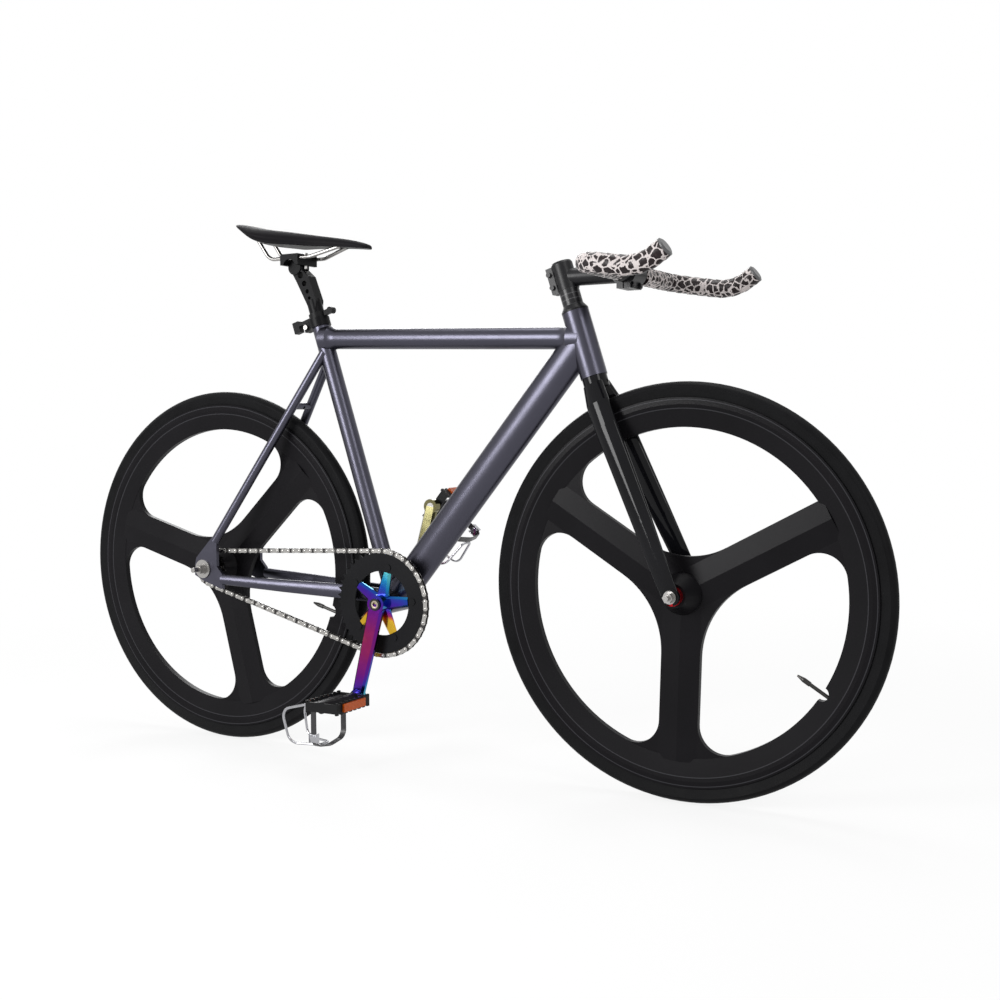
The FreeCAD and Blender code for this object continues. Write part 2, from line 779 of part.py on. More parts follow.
column_piece = fused("ForkColumn", [steerer, crown, race])
fork_legs = []
for side in (-1, 1):
    stations = []
    for share, wide, deep, spread in zip(blade_station_shares, blade_width_shares, blade_depth_shares,
                                         blade_spread_shares):
        centre = leg_top + leg_run * share + LEFT * (side * fork_end_middle * spread)
        stations.append((centre, leg_way, s.blade_width / 2 * wide, s.blade_depth / 2 * deep))
    blade = feature("Blade", lofted(stations))
    end_start = s.front_hub_width / 2 if side > 0 else -s.front_hub_width / 2 - s.fork_end_thickness
    fork_end = cylinder("ForkEnd", s.fork_end_diameter / 2, s.fork_end_thickness,
                        front_axle_at + LEFT * end_start, LEFT)
    fork_legs.append(fused("ForkLeg", [blade, fork_end]))
front_slot = s.front_axle_diameter + 2 * s.shaft_fit
fork_span = s.front_hub_width + 2 * s.fork_end_thickness + 2 * overrun
axle_cut = cylinder("FrontAxleCut", front_slot / 2, fork_span, front_axle_at - LEFT * (fork_span / 2), LEFT)
slot_cut = box("FrontSlotCut", front_slot, fork_span, s.fork_end_diameter,
               front_axle_at - Vector(front_slot / 2, fork_span / 2, s.fork_end_diameter))
crown_bore = cylinder("CrownBore", s.crown_bolt_bore / 2, s.crown_diameter * 2,
                      leg_top - head_fore * s.crown_diameter, head_fore)
fork_pieces = [cut("ColumnBored", column_piece, [crown_bore])]
for leg in fork_legs:
    fork_pieces.append(cut("ForkLegCut", leg, [column_piece, axle_cut, slot_cut, crown_bore]))
node(compound("ForkPieces", fork_pieces), "fork")

# Conical bearing cover and a stack of spacers under the stem.
column = steerer_radius + s.shaft_fit
node(turned("HeadsetCover", [
    (column, 0),
    (head_tube_radius, 0),
    (head_tube_radius, s.cover_height / 4),
    (s.cover_top_diameter / 2, s.cover_height),
    (column, s.cover_height),
], on_head(cover_low), head_up), "headset_cover")
spacer_corners = [
    (column, 0),
    (s.spacer_diameter / 2, 0),
    (s.spacer_diameter / 2, s.spacer_height),
    (column, s.spacer_height),
]
node(compound("HeadsetSpacers", [
    turned("Spacer%d" % index, spacer_corners, on_head(spacers_low + s.spacer_height * index), head_up)
    for index in range(int(s.spacer_count))]), "headset_spacers")

# Stem: steerer clamp with rear lugs, a level extension and the rear half of the bar clamp.
stem_middle = on_head(stem_low + s.stem_clamp_height / 2)
bar_at = stem_middle + FORWARD * s.stem_reach
clamp_radius = s.stem_clamp_diameter / 2
bar_clamp_radius = s.stem_bar_clamp_diameter / 2
half_clamp = s.stem_bar_clamp_width / 2
lug_half_share, ear_share, face_share, block_share = 0.35, 1.2, 1.5, 1.5
lug_half = s.stem_bolt_length * lug_half_share
face_front = s.stem_bolt_diameter * face_share
bolt_radius = s.stem_bolt_diameter / 2
shank_radius = bolt_radius / 2 + s.running_gap
lug_out = clamp_radius + s.stem_lug_reach
lug_turn = FreeCAD.Rotation(UP, head_up)
stem_clamp = cylinder("StemClamp", clamp_radius, s.stem_clamp_height, on_head(stem_low), head_up)
stem_tube = cylinder("StemTube", s.stem_tube_diameter / 2, s.stem_reach, stem_middle, FORWARD)
bar_clamp = cylinder("BarClamp", bar_clamp_radius, s.stem_bar_clamp_width, bar_at - LEFT * half_clamp, LEFT)
stem_lug = box("StemLug", lug_out, lug_half * 2, s.stem_clamp_height,
               on_head(stem_low) - head_fore * lug_out - LEFT * lug_half, lug_turn)
ear_height = s.stem_bolt_diameter * ear_share
ear_out = s.bar_clamp_diameter / 2 + ear_height
ears = box("BarEars", face_front * 2, s.stem_bar_clamp_width, ear_out * 2,
           bar_at - Vector(face_front, half_clamp, ear_out))
bar_bore = cylinder("BarBore", s.bar_clamp_diameter / 2, s.stem_bar_clamp_width + 2 * overrun,
                    bar_at - LEFT * (half_clamp + overrun), LEFT)
column_bore = cylinder("ColumnBore", column, s.stem_clamp_height + 2 * overrun,
                       on_head(stem_low - overrun), head_up)
slit_at = on_head(stem_low - overrun) - head_fore * (lug_out + overrun) - LEFT * (s.faceplate_gap / 2)
stem_slit = box("StemSlit", lug_out + overrun, s.faceplate_gap, s.stem_clamp_height + 2 * overrun,
                slit_at, lug_turn)
block_half = ear_out * block_share
block_width = s.stem_bar_clamp_width + 2 * overrun
front_block = box("FrontBlock", s.stem_bar_clamp_diameter, block_width, block_half * 2,
                  bar_at + Vector(-s.faceplate_gap / 2, -half_clamp - overrun, -block_half))
rear_start = s.faceplate_gap / 2 - s.stem_bar_clamp_diameter
rear_block = box("RearBlock", s.stem_bar_clamp_diameter, block_width, block_half * 2,
                 bar_at + Vector(rear_start, -half_clamp - overrun, -block_half))
face_bolts = []
face_holes = []
face_seats = []
bolt_high = s.bar_clamp_diameter / 2 + ear_height / 2
bolt_side = half_clamp - s.stem_bolt_diameter
for side in (-1, 1):
    for level in (-1, 1):
        base = bar_at + Vector(face_front, side * bolt_side, level * bolt_high)
        face_holes.append(cylinder("FaceHole", shank_radius + s.shaft_fit, face_front * 2,
                                   base - FORWARD * (face_front * 2), FORWARD))
        face_seats.append(cylinder("FaceSeat", bolt_radius + s.running_gap, s.stem_bar_clamp_diameter,
                                   base, FORWARD))
        face_bolts.append(turned("FaceBolt", [
            (0, -face_front * 2),
            (shank_radius, -face_front * 2),
            (shank_radius, 0),
            (bolt_radius, 0),
            (bolt_radius, bolt_radius),
            (0, bolt_radius),
        ], base, FORWARD))
stem_bolts = []
stem_holes = []
stem_bolt_shares = (0.25, 0.75)
for share in stem_bolt_shares:
    base = on_head(stem_low + s.stem_clamp_height * share) - LEFT * lug_half
    base = base - head_fore * (clamp_radius + s.stem_lug_reach / 2)
    stem_holes.append(cylinder("StemHole", shank_radius + s.shaft_fit, lug_half * 2, base, LEFT))
    stem_bolts.append(turned("StemBolt", [
        (0, -lug_half * 2),
        (shank_radius, -lug_half * 2),
        (shank_radius, 0),
        (bolt_radius, 0),
        (bolt_radius, bolt_radius),
        (0, bolt_radius),
    ], base, RIGHT))
stem_skin = fused("StemSkin", [stem_clamp, stem_tube, bar_clamp, stem_lug, ears])
face_skin = fused("FaceSkin", [
    cylinder("FaceRing", bar_clamp_radius, s.stem_bar_clamp_width, bar_at - LEFT * half_clamp, LEFT),
    box("FaceEars", face_front * 2, s.stem_bar_clamp_width, ear_out * 2,
        bar_at - Vector(face_front, half_clamp, ear_out))])
stem_tools = [bar_bore, column_bore, stem_slit, front_block]
node(cut("StemCut", stem_skin, stem_tools + face_holes + stem_holes), "stem")
face_bore = cylinder("FaceBore", s.bar_clamp_diameter / 2, s.stem_bar_clamp_width + 2 * overrun,
                     bar_at - LEFT * (half_clamp + overrun), LEFT)
node(cut("FaceCut", face_skin, [face_bore, rear_block] + face_holes + face_seats), "stem_faceplate")
node(compound("FaceBolts", face_bolts), "faceplate_bolts")
node(compound("StemBolts", stem_bolts), "stem_bolts")
node(turned("TopCap", [
    (0, 0),
    (clamp_radius, 0),
    (clamp_radius - s.top_cap_height / 2, s.top_cap_height),
    (bolt_radius, s.top_cap_height),
    (bolt_radius, s.top_cap_height / 2),
    (0, s.top_cap_height / 2),
], on_head(stem_top), head_up), "stem_top_cap")

# Bullhorn bar: out to the sides, forward with a slight fall, and up at the tips.
bar_radius = s.bar_diameter / 2
fall = math.radians(s.bar_arm_fall)
climb = math.radians(s.bar_tip_rise)
arm_way = Vector(math.cos(fall), 0, -math.sin(fall))
tip_way = Vector(math.cos(climb), 0, math.sin(climb))
tip_back = s.bar_tip_radius * math.tan((fall + climb) / 2)


def bar_points(side):
    """Corner, upturn and tip of one arm of the bar."""
    corner = bar_at + LEFT * (side * s.bar_half_width)
    upturn = corner + arm_way * (s.bar_corner_radius + s.bar_arm_length + tip_back)
    return [corner, upturn, upturn + tip_way * (tip_back + s.bar_tip_length)]


right_arm, left_arm = bar_points(-1), bar_points(1)
bar_path = bent_path(right_arm[::-1] + left_arm,
                     [s.bar_tip_radius, s.bar_corner_radius, s.bar_corner_radius, s.bar_tip_radius])
bulge_radius = s.bar_clamp_diameter / 2
bulge_end = s.bar_bulge_half + s.bar_taper
bulge = turned("BarBulge", [
    (0, -bulge_end),
    (bar_radius, -bulge_end),
    (bulge_radius, -s.bar_bulge_half),
    (bulge_radius, s.bar_bulge_half),
    (bar_radius, bulge_end),
    (0, bulge_end),
], bar_at, LEFT)
bar_tube = feature("BarTube", piped(bar_path, float(bar_radius)))
plug_bores = [cylinder("PlugBore", bar_radius - s.tube_wall, s.plug_depth + overrun,
                       arm[-1] - tip_way * s.plug_depth, tip_way) for arm in (right_arm, left_arm)]
node(cut("BarCut", fused("BarSkin", [bar_tube, bulge]), plug_bores), "handlebar")
tapes = []
plugs = []
for side, arm in ((-1, right_arm), (1, left_arm)):
    start = bar_at + LEFT * (side * (bulge_end + s.running_gap))
    path = bent_path([start] + arm, [s.bar_corner_radius, s.bar_tip_radius])
    sleeve = piped(path, float(bar_radius + s.tape_thickness))
    tapes.append(feature("Tape", sleeve.cut(piped(path, float(bar_radius)))))
    plugs.append(turned("Plug", [
        (0, -s.plug_depth),
        (bar_radius - s.tube_wall - s.shaft_fit, -s.plug_depth),
        (bar_radius - s.tube_wall - s.shaft_fit, 0),
        (bar_radius + s.tape_thickness, 0),
        (bar_radius + s.tape_thickness, s.plug_cap_height / 2),
        (bar_radius, s.plug_cap_height),
        (0, s.plug_cap_height),
    ], arm[-1], tip_way))
node(compound("BarTape", tapes), "bar_tape")
node(compound("BarEndPlugs", plugs), "bar_end_plugs")

# Seat collar clamped round the top of the seat tube by one cross bolt.
collar_low = seat_top - s.collar_height
collar_radius = seat_tube_radius + s.collar_wall
collar_ring = cylinder("CollarRing", collar_radius, s.collar_height, on_seat(collar_low), seat_up)
seat_turn = FreeCAD.Rotation(UP, seat_up)
collar_out = collar_radius + s.collar_lug_reach
collar_lug = box("CollarLug", collar_out, s.collar_lug_width, s.collar_height,
                 on_seat(collar_low) + seat_back * collar_out - LEFT * (s.collar_lug_width / 2), seat_turn)
collar_bore = cylinder("CollarBore", seat_tube_radius, s.collar_height + 2 * overrun,
                       on_seat(collar_low - overrun), seat_up)
split_at = on_seat(collar_low - overrun) + seat_back * (collar_out + overrun) - LEFT * (s.collar_split / 2)
collar_slit = box("CollarSlit", collar_out + overrun, s.collar_split, s.collar_height + 2 * overrun,
                  split_at, seat_turn)
collar_bolt_radius = s.collar_bolt_diameter / 2
collar_bolt_at = on_seat(seat_top - s.collar_height / 2)
collar_bolt_at = collar_bolt_at + seat_back * (collar_radius + s.collar_lug_reach / 2)
collar_bolt_at = collar_bolt_at - LEFT * (s.collar_lug_width / 2)
collar_hole = cylinder("CollarHole", collar_bolt_radius + s.shaft_fit, s.collar_lug_width,
                       collar_bolt_at, LEFT)
collar_skin = fused("CollarSkin", [collar_ring, collar_lug])
node(cut("CollarCut", collar_skin, [collar_bore, collar_slit, collar_hole]), "seat_clamp")
collar_head_share = 1.8
collar_head = collar_bolt_radius * collar_head_share
node(turned("CollarBolt", [
    (0, -s.collar_lug_width),
    (collar_bolt_radius, -s.collar_lug_width),
    (collar_bolt_radius, 0),
    (collar_head, 0),
    (collar_head, collar_head),
    (0, collar_head),
], collar_bolt_at, RIGHT), "seat_clamp_bolt")

# Seat post: a round shaft that flattens into a set-back head, pierced by a row of growing holes.
post_radius = s.post_diameter / 2
post_low = seat_top - s.post_insert
post_neck = seat_top + s.post_round_above
head_high = seat_top + s.post_head_rise
post_head_at = on_seat(head_high) - FORWARD * s.post_setback
post_rise = head_high - post_neck
shaft = cylinder("PostShaft", post_radius, post_neck + post_rise / 4 - post_low, on_seat(post_low), seat_up)
neck_half = s.post_blade_width / 2
neck_low_share = 0.47
neck_low_half = s.post_diameter * neck_low_share
neck_high_half = s.post_head_depth / 2
neck_at = on_seat(post_neck)
head_off = (post_head_at - neck_at).dot(-seat_back)
head_off = Length(head_off, repr(head_off))
neck_rise_shares = (0.2, 0.42, 0.75)
neck_front_share, neck_back_share, neck_top_share = 0.2, 0.4, 0.5
neck_turn = FreeCAD.Rotation(-seat_back, seat_up, RIGHT, "ZXY")
neck = plate("PostNeck", [
    (-neck_half / 2, 0),
    (neck_half / 2, 0),
    (neck_low_half, post_rise * neck_rise_shares[0]),
    (neck_low_half - s.post_setback * neck_front_share, post_rise * neck_rise_shares[2]),
    (head_off + neck_high_half * neck_top_share, post_rise),
    (head_off - neck_high_half * neck_top_share, post_rise),
    (-neck_low_half - s.post_setback * neck_back_share, post_rise * neck_rise_shares[2]),
    (-neck_low_half, post_rise * neck_rise_shares[1]),
], s.post_blade_width, neck_at + LEFT * neck_half, neck_turn)
head_barrel = cylinder("PostHead", s.post_head_depth / 3, s.post_diameter,
                       post_head_at - LEFT * post_radius, LEFT)
hole_shares = (0.3, 0.45, 0.63, 0.82)
hole_back_shares = (0.02, 0.06, 0.2, 0.46)
hole_size_shares = (0.36, 0.45, 0.57, 0.68)
post_holes = []
for share, back, large in zip(hole_shares, hole_back_shares, hole_size_shares):
    hole_at = on_seat(post_neck + post_rise * share) - FORWARD * (s.post_setback * back)
    hole_at = hole_at - LEFT * s.post_diameter
    post_holes.append(cylinder("PostHole", s.post_hole_size * large, s.post_diameter * 2, hole_at, LEFT))

# Saddle clamp: a cradle on the post head, a cap over the rails and two bolts.
rail_radius = s.rail_diameter / 2
clamp_half = s.rail_half_gauge + s.rail_diameter
clamp_x = post_head_at.x
rail_level = post_head_at.z + s.rail_above_head
cradle_low = rail_level - s.cradle_height
cradle_block = box("CradleBlock", s.cradle_length, clamp_half * 2, s.cradle_height,
                   Vector(clamp_x - s.cradle_length / 2, -clamp_half, cradle_low))
cap_block = box("CapBlock", s.cradle_length, clamp_half * 2, s.rail_cap_height,
                Vector(clamp_x - s.cradle_length / 2, -clamp_half, rail_level))
cradle_seat = cylinder("CradleSeat", s.post_head_depth / 3 + s.shaft_fit, clamp_half * 2 + 2 * overrun,
                       post_head_at - LEFT * (clamp_half + overrun), LEFT)
grooves = [cylinder("RailGroove", rail_radius, s.cradle_length + 2 * overrun,
                    Vector(clamp_x - s.cradle_length / 2 - overrun, side * s.rail_half_gauge, rail_level),
                    FORWARD)
           for side in (-1, 1)]
clamp_bolt_radius = s.clamp_bolt_diameter / 2
clamp_bolts = []
clamp_holes = []
bolt_drop = s.cradle_height + s.rail_cap_height
clamp_place_share, clamp_shank_share, clamp_head_share = 0.4, 1.3, 1.6
for side in (-1, 1):
    base = Vector(clamp_x + side * s.cradle_length * clamp_place_share, 0, rail_level + s.rail_cap_height)
    clamp_holes.append(cylinder("ClampHole", clamp_bolt_radius + s.shaft_fit, bolt_drop * 2,
                                base - UP * (bolt_drop * 2), UP))
    clamp_bolts.append(turned("ClampBolt", [
        (0, -bolt_drop * clamp_shank_share),
        (clamp_bolt_radius, -bolt_drop * clamp_shank_share),
        (clamp_bolt_radius, 0),
        (clamp_bolt_radius * clamp_head_share, 0),
        (clamp_bolt_radius * clamp_head_share, clamp_bolt_radius),
        (0, clamp_bolt_radius),
    ], base, UP))
node(cut("PostCut", fused("PostSkin", [shaft, neck, head_barrel]), post_holes + clamp_holes), "seatpost")
node(cut("CradleCut", cradle_block, [cradle_seat, neck] + grooves + clamp_holes), "saddle_cradle")
node(cut("CapCut", cap_block, grooves + clamp_holes), "saddle_rail_cap")
node(compound("ClampBolts", clamp_bolts), "saddle_clamp_bolts")

# Reflector bracket: a band on the post just above the collar, a rearward arm and an end block.
band_low = seat_top + s.running_gap
band_radius = post_radius + s.bracket_band_wall
band = cylinder("BracketBand", band_radius, s.bracket_band_height, on_seat(band_low), seat_up)
arm_out = band_radius + s.bracket_arm_length
arm = box("BracketArm", arm_out, s.bracket_arm_width, s.bracket_arm_thickness,
          on_seat(band_low) + seat_back * arm_out - LEFT * (s.bracket_arm_width / 2), seat_turn)
half_arm = LEFT * (s.bracket_arm_width / 2)
block = box("BracketBlock", s.bracket_block_length, s.bracket_arm_width, s.bracket_block_height,
            on_seat(band_low - s.bracket_block_height / 2) + seat_back * arm_out - half_arm, seat_turn)
knob_share = 1.2
knob_out = band_radius + s.bracket_arm_width * knob_share
knob = cylinder("BracketKnob", s.bracket_arm_thickness, s.bracket_arm_width,
                on_seat(band_low + s.bracket_band_height / 2) - seat_back * knob_out - half_arm, LEFT)
knob_arm = box("BracketLug", knob_out, s.bracket_arm_thickness, s.bracket_band_height,
               on_seat(band_low) - LEFT * (s.bracket_arm_thickness / 2), seat_turn)
band_bore = cylinder("BandBore", post_radius, s.bracket_band_height + 2 * overrun,
                     on_seat(band_low - overrun), seat_up)
bracket_skin = fused("BracketSkin", [band, arm, block, knob, knob_arm])
node(cut("BracketCut", bracket_skin, [band_bore]), "reflector_bracket")

# Wheels: a V-nosed rim, three creased spokes and a turned hub, moulded in one piece.
rim_edge = s.rim_edge_radius
rim_half = s.rim_width / 2
rim_nose = rim_edge - s.rim_depth
nose_half = s.rim_nose_width / 2
track_low = rim_edge - s.brake_track
rim_corners = [
    (rim_nose, -nose_half),
    (rim_nose, nose_half),
    (track_low, rim_half),
    (rim_edge, rim_half),
    (rim_edge, -rim_half),
    (track_low, -rim_half),
]
third = 2 * math.pi / 3
valve_neck_share = 0.75
tread_radius_share = 1.04
tread_rise_share = tread_radius_share - math.sqrt(tread_radius_share ** 2 - 1)


def hub_corners(half, cone, spigot):
    """Outline of a hub: shoulders over the spokes, and a cone to a round spigot on the drive side."""
    return [
        (0, -half),
        (spigot, -half),
        (spigot, -cone),
        (s.hub_shoulder_radius, -s.spoke_crease),
        (s.hub_shoulder_radius, s.spoke_crease),
        (s.hub_end_radius, half),
        (0, half),
    ]


def windows(centre, angle):
    """Three rounded openings between the spokes."""
    depth = float(s.rim_width)
    base = centre - LEFT * (depth / 2)
    open_disc = Part.makeCylinder(rim_nose, depth, base, LEFT)
    for index in range(3):
        bar = Part.makeBox(rim_edge, depth, s.spoke_width, Vector(0, -depth / 2, -s.spoke_width / 2))
        bar.rotate(Vector(0, 0, 0), LEFT, -math.degrees(angle + index * third))
        bar.translate(centre)
        open_disc = open_disc.cut(bar)
    rounded = []
    for solid in open_disc.Solids:
        across = [edge for edge in solid.Edges if abs(edge.Vertexes[0].Y - edge.Vertexes[-1].Y) > depth / 2]
        across.sort(key=lambda edge: (edge.Vertexes[0].Point - centre).Length)
        solid = solid.makeFillet(s.window_hub_radius, across[:1])
        across = [edge for edge in solid.Edges if abs(edge.Vertexes[0].Y - edge.Vertexes[-1].Y) > depth / 2]
        across.sort(key=lambda edge: (edge.Vertexes[0].Point - centre).Length)
        rounded.append(solid.makeFillet(s.window_rim_radius, across[-2:]))
    return Part.makeCompound(rounded)


def wheel(name, label, centre, angle, half, cone, spigot, extra, holes):
    """Wheel with its hub bored for two bearings and its rim notched round the valve."""
    disc = cylinder(name + "Disc", rim_nose + nose_half, 2 * s.spoke_edge,
                    centre - LEFT * s.spoke_edge, LEFT)
    opening = feature(name + "Windows", windows(centre, angle))
    pieces = [
        turned(name + "Rim", rim_corners, centre, LEFT),
        turned(name + "Hub", hub_corners(half, cone, spigot), centre, LEFT),
        cut(name + "Web", disc, [opening]),
    ]
    wing = s.spoke_width / 2
    for index in range(3):
        out = polar(Vector(0, 0, 0), 1, angle + index * third)
        turn = FreeCAD.Rotation(LEFT.cross(out), LEFT, out, "ZYX")
        pieces.append(plate(name + "Spoke%d" % index, [
            (-wing, -s.spoke_edge),
            (0, -s.spoke_crease),
            (wing, -s.spoke_edge),
            (wing, s.spoke_edge),
            (0, s.spoke_crease),
            (-wing, s.spoke_edge),
        ], rim_nose + nose_half, centre, turn))
    valve_angle = angle - third / 2
    way = polar(Vector(0, 0, 0), 1, valve_angle)
    tools = [
        cylinder(name + "Bore", s.hub_bearing_radius - s.hub_core_lip, 2 * half, centre - LEFT * half, LEFT),
        cylinder(name + "RightSeat", s.hub_bearing_radius, s.hub_bearing_width, centre - LEFT * half, LEFT),
        cylinder(name + "LeftSeat", s.hub_bearing_radius, s.hub_bearing_width,
                 centre + LEFT * (half - s.hub_bearing_width), LEFT),
        cylinder(name + "Notch", s.valve_notch_radius, s.rim_width,
                 centre + way * rim_nose - LEFT * rim_half, LEFT),
        cylinder(name + "ValveHole", s.valve_radius + s.shaft_fit, s.rim_depth + overrun,
                 centre + way * rim_nose, way),
    ]
    node(cut(name + "Cut", fused(name + "Skin", pieces + extra), tools + holes), label)
    stem = turned(name + "Valve", [
        (0, 0),
        (s.valve_radius, 0),
        (s.valve_radius, s.rim_depth + s.valve_length / 2),
        (s.valve_cap_radius, s.rim_depth + s.valve_length / 2),
        (s.valve_cap_radius, s.rim_depth + s.valve_length * valve_neck_share),
        (s.valve_radius / 2, s.rim_depth + s.valve_length),
        (0, s.rim_depth + s.valve_length),
    ], centre + way * rim_edge, -way)
    node(stem, label.replace("wheel", "valve"))


def tyre(name, label, centre):
    """Slick tyre: straight side walls under a round tread of a little less than a half circle."""
    half = s.tyre_width / 2
    crown = s.tyre_radius - half * tread_rise_share
    node(turned(name, [
        (rim_edge, -s.tyre_seat_width / 2),
        (crown, -half),
        (crown, half),
        (rim_edge, s.tyre_seat_width / 2),
    ], centre, LEFT, [(1, half * tread_radius_share, (s.tyre_radius, 0))]), label)


def ring_set(name, label, rings):
    """Turned rings that share a node: each is inner radius, outer radius, thickness, base and direction."""
    node(compound(name, [turned("%s%d" % (name, index), [
        (inner, 0),
        (outer, 0),
        (outer, thick),
        (inner, thick),
    ], base, way) for index, (inner, outer, thick, base, way) in enumerate(rings)]), label)


def axle_nuts(name, label, centre, start, axle_radius):
    """Flanged hexagon nuts on both ends of an axle."""
    nuts = []
    for index, way in enumerate((RIGHT, LEFT)):
        base = centre + way * start
        flange = cylinder(name + "Flange%d" % index, s.nut_flange_diameter / 2, s.nut_flange_height,
                          base, way)
        body = plate(name + "Hex%d" % index, hexagon(s.axle_nut_flats), s.axle_nut_height,
                     base + way * s.nut_flange_height, FreeCAD.Rotation(UP, way))
        bore = cylinder(name + "Bore%d" % index, axle_radius, s.axle_nut_height + s.nut_flange_height,
                        base, way)
        nuts.append(cut(name + "Cut%d" % index, fused(name + "Skin%d" % index, [flange, body]), [bore]))
    node(compound(name, nuts), label)


front_axle_radius = s.front_axle_diameter / 2
rear_axle_radius = s.rear_axle_diameter / 2
front_half = s.front_hub_half
rear_half = s.rear_hub_half
front_end = s.front_hub_width / 2
wheel("FrontWheel", "front_wheel", front_axle_at, math.radians(s.front_spoke_angle), front_half,
      front_half - s.running_gap, s.hub_end_radius, [], [])
tyre("FrontTyre", "front_tyre", front_axle_at)

# The rear hub carries a flange on the drive side that the cog is bolted to.
tooth_half = s.tooth_thickness / 2
cog_face = s.chain_line - tooth_half
carrier = turned("CogCarrier", [
    (0, -cog_face),
    (s.cog_carrier_radius, -cog_face),
    (s.cog_carrier_radius, s.cog_carrier_thickness - cog_face),
    (s.hub_end_radius, 2 * s.cog_carrier_thickness - cog_face),
    (0, 2 * s.cog_carrier_thickness - cog_face),
], rear_axle_at, LEFT)
cog_bolt_radius = s.cog_bolt_diameter / 2
cog_bolt_count = int(s.cog_bolt_count)
cog_bolt_length = s.tooth_thickness + s.cog_carrier_thickness
cog_outer_at = rear_axle_at + RIGHT * (s.chain_line + tooth_half)
cog_bolt_places = [polar(cog_outer_at, s.cog_bolt_circle / 2, 2 * math.pi / cog_bolt_count * index)
                   for index in range(cog_bolt_count)]
cog_holes = [cylinder("CogHole%d" % index, cog_bolt_radius, cog_bolt_length, base, LEFT)
             for index, base in enumerate(cog_bolt_places)]
wheel("RearWheel", "rear_wheel", rear_axle_at, math.radians(s.rear_spoke_angle), rear_half,
      cog_face - 2 * s.cog_carrier_thickness, s.cog_spigot_radius, [carrier], cog_holes)
tyre("RearTyre", "rear_tyre", rear_axle_at)
for name, label, centre, half, axle_radius in (
        ("FrontBearings", "front_hub_bearings", front_axle_at, front_half, front_axle_radius),
        ("RearBearings", "rear_hub_bearings", rear_axle_at, rear_half, rear_axle_radius)):
    ring_set(name, label, [(axle_radius + s.shaft_fit, s.hub_bearing_radius, s.hub_bearing_width,
                            centre + way * half, -way) for way in (RIGHT, LEFT)])


def axle(name, centre, half, shoulder, radius):
    """Axle with slightly smaller ends outside its nuts."""
    end = radius - s.axle_end_relief
    return turned(name, [
        (0, -half),
        (end, -half),
        (end, -shoulder),
        (radius, -shoulder),
        (radius, shoulder),
        (end, shoulder),
        (end, half),
        (0, half),
    ], centre, LEFT)


nut_length = s.nut_flange_height + s.axle_nut_height
front_axle_half = front_end + s.fork_end_thickness + s.front_axle_overhang
front_shoulder = front_end + s.fork_end_thickness + nut_length
node(axle("FrontAxle", front_axle_at, front_axle_half, front_shoulder, front_axle_radius), "front_axle")
axle_nuts("FrontNuts", "front_axle_nuts", front_axle_at, front_end + s.fork_end_thickness, front_axle_radius)
ring_set("FrontLocknuts", "front_locknuts", [
    (front_axle_radius, s.red_locknut_diameter / 2, s.red_locknut_thickness,
     front_axle_at + way * front_end, -way)
    for way in (RIGHT, LEFT)])
track_outer = track_inner + s.track_end_thickness
rear_axle_half = track_outer + s.rear_axle_overhang
rear_shoulder = track_outer + s.rear_washer_thickness + nut_length
node(axle("RearAxle", rear_axle_at, rear_axle_half, rear_shoulder, rear_axle_radius), "rear_axle")
ring_set("RearWashers", "rear_washers", [
    (rear_axle_radius, s.rear_washer_diameter / 2, s.rear_washer_thickness,
     rear_axle_at + way * track_outer, way)
    for way in (RIGHT, LEFT)])
axle_nuts("RearNuts", "rear_axle_nuts", rear_axle_at, track_outer + s.rear_washer_thickness, rear_axle_radius)
ring_set("RearLocknuts", "rear_locknuts", [
    (rear_axle_radius, s.rear_locknut_diameter / 2, track_inner - rear_half - s.running_gap,
     rear_axle_at + way * track_inner, -way)
    for way in (RIGHT, LEFT)])


# Sprockets: each valley is three flats round a roller, and the teeth run out just past the pitch circle.
def sprocket(centre, teeth, pitch_radius, first, inner_radius):
    """Toothed ring whose valleys hold the chain's rollers."""
    seat_radius = float(s.roller_radius + s.roller_seat_gap)
    tip_radius = pitch_radius + s.tooth_rise
    corners = []
    for index in range(teeth):
        angle = first + 2 * math.pi / teeth * index
        out = polar(Vector(0, 0, 0), 1, angle)
        along = polar(Vector(0, 0, 0), 1, angle + math.pi / 2)
        pin = polar(centre, pitch_radius, angle)
        corner = seat_radius / math.cos(math.pi / 6)
        for side in (-1, 1):
            low = pin - out * (corner * math.cos(math.pi / 6)) + along * (side * corner / 2)
            slope = out * math.sin(math.pi / 3) + along * (side * math.cos(math.pi / 3))
            reach_out = (low - centre).dot(slope)
            run = math.sqrt(reach_out ** 2 + tip_radius ** 2 - (low - centre).dot(low - centre)) - reach_out
            tip = low + slope * run
            corners += [tip, low] if side < 0 else [low, tip]
    outer = Part.makePolygon(corners + corners[:1])
    inner = Part.Wire([Part.Circle(centre, LEFT, inner_radius).toShape()])
    ring = Part.Face([outer, inner]).extrude(LEFT * s.tooth_thickness)
    ring.translate(RIGHT * (s.chain_line + tooth_half))
    return ring


cog_first = chain_tilt + math.pi - cog_end
ring_first = chain_tilt - ring_end
cog_teeth_ring = sprocket(rear_axle_at, cog_teeth, cog_pitch_radius, cog_first, s.cog_spigot_radius)
cog_blank = feature("CogBlank", cog_teeth_ring)
cog_bolts = []
for index, base in enumerate(cog_bolt_places):
    shank = cylinder("CogShank%d" % index, cog_bolt_radius, cog_bolt_length, base, LEFT)
    cap = plate("CogHead%d" % index, hexagon(s.cog_bolt_head_flats), s.cog_bolt_head, base,
                FreeCAD.Rotation(UP, RIGHT))
    cog_bolts.append(fused("CogBolt%d" % index, [shank, cap]))
node(cut("CogCut", cog_blank, cog_holes), "rear_cog")
node(compound("CogBolts", cog_bolts), "cog_bolts")

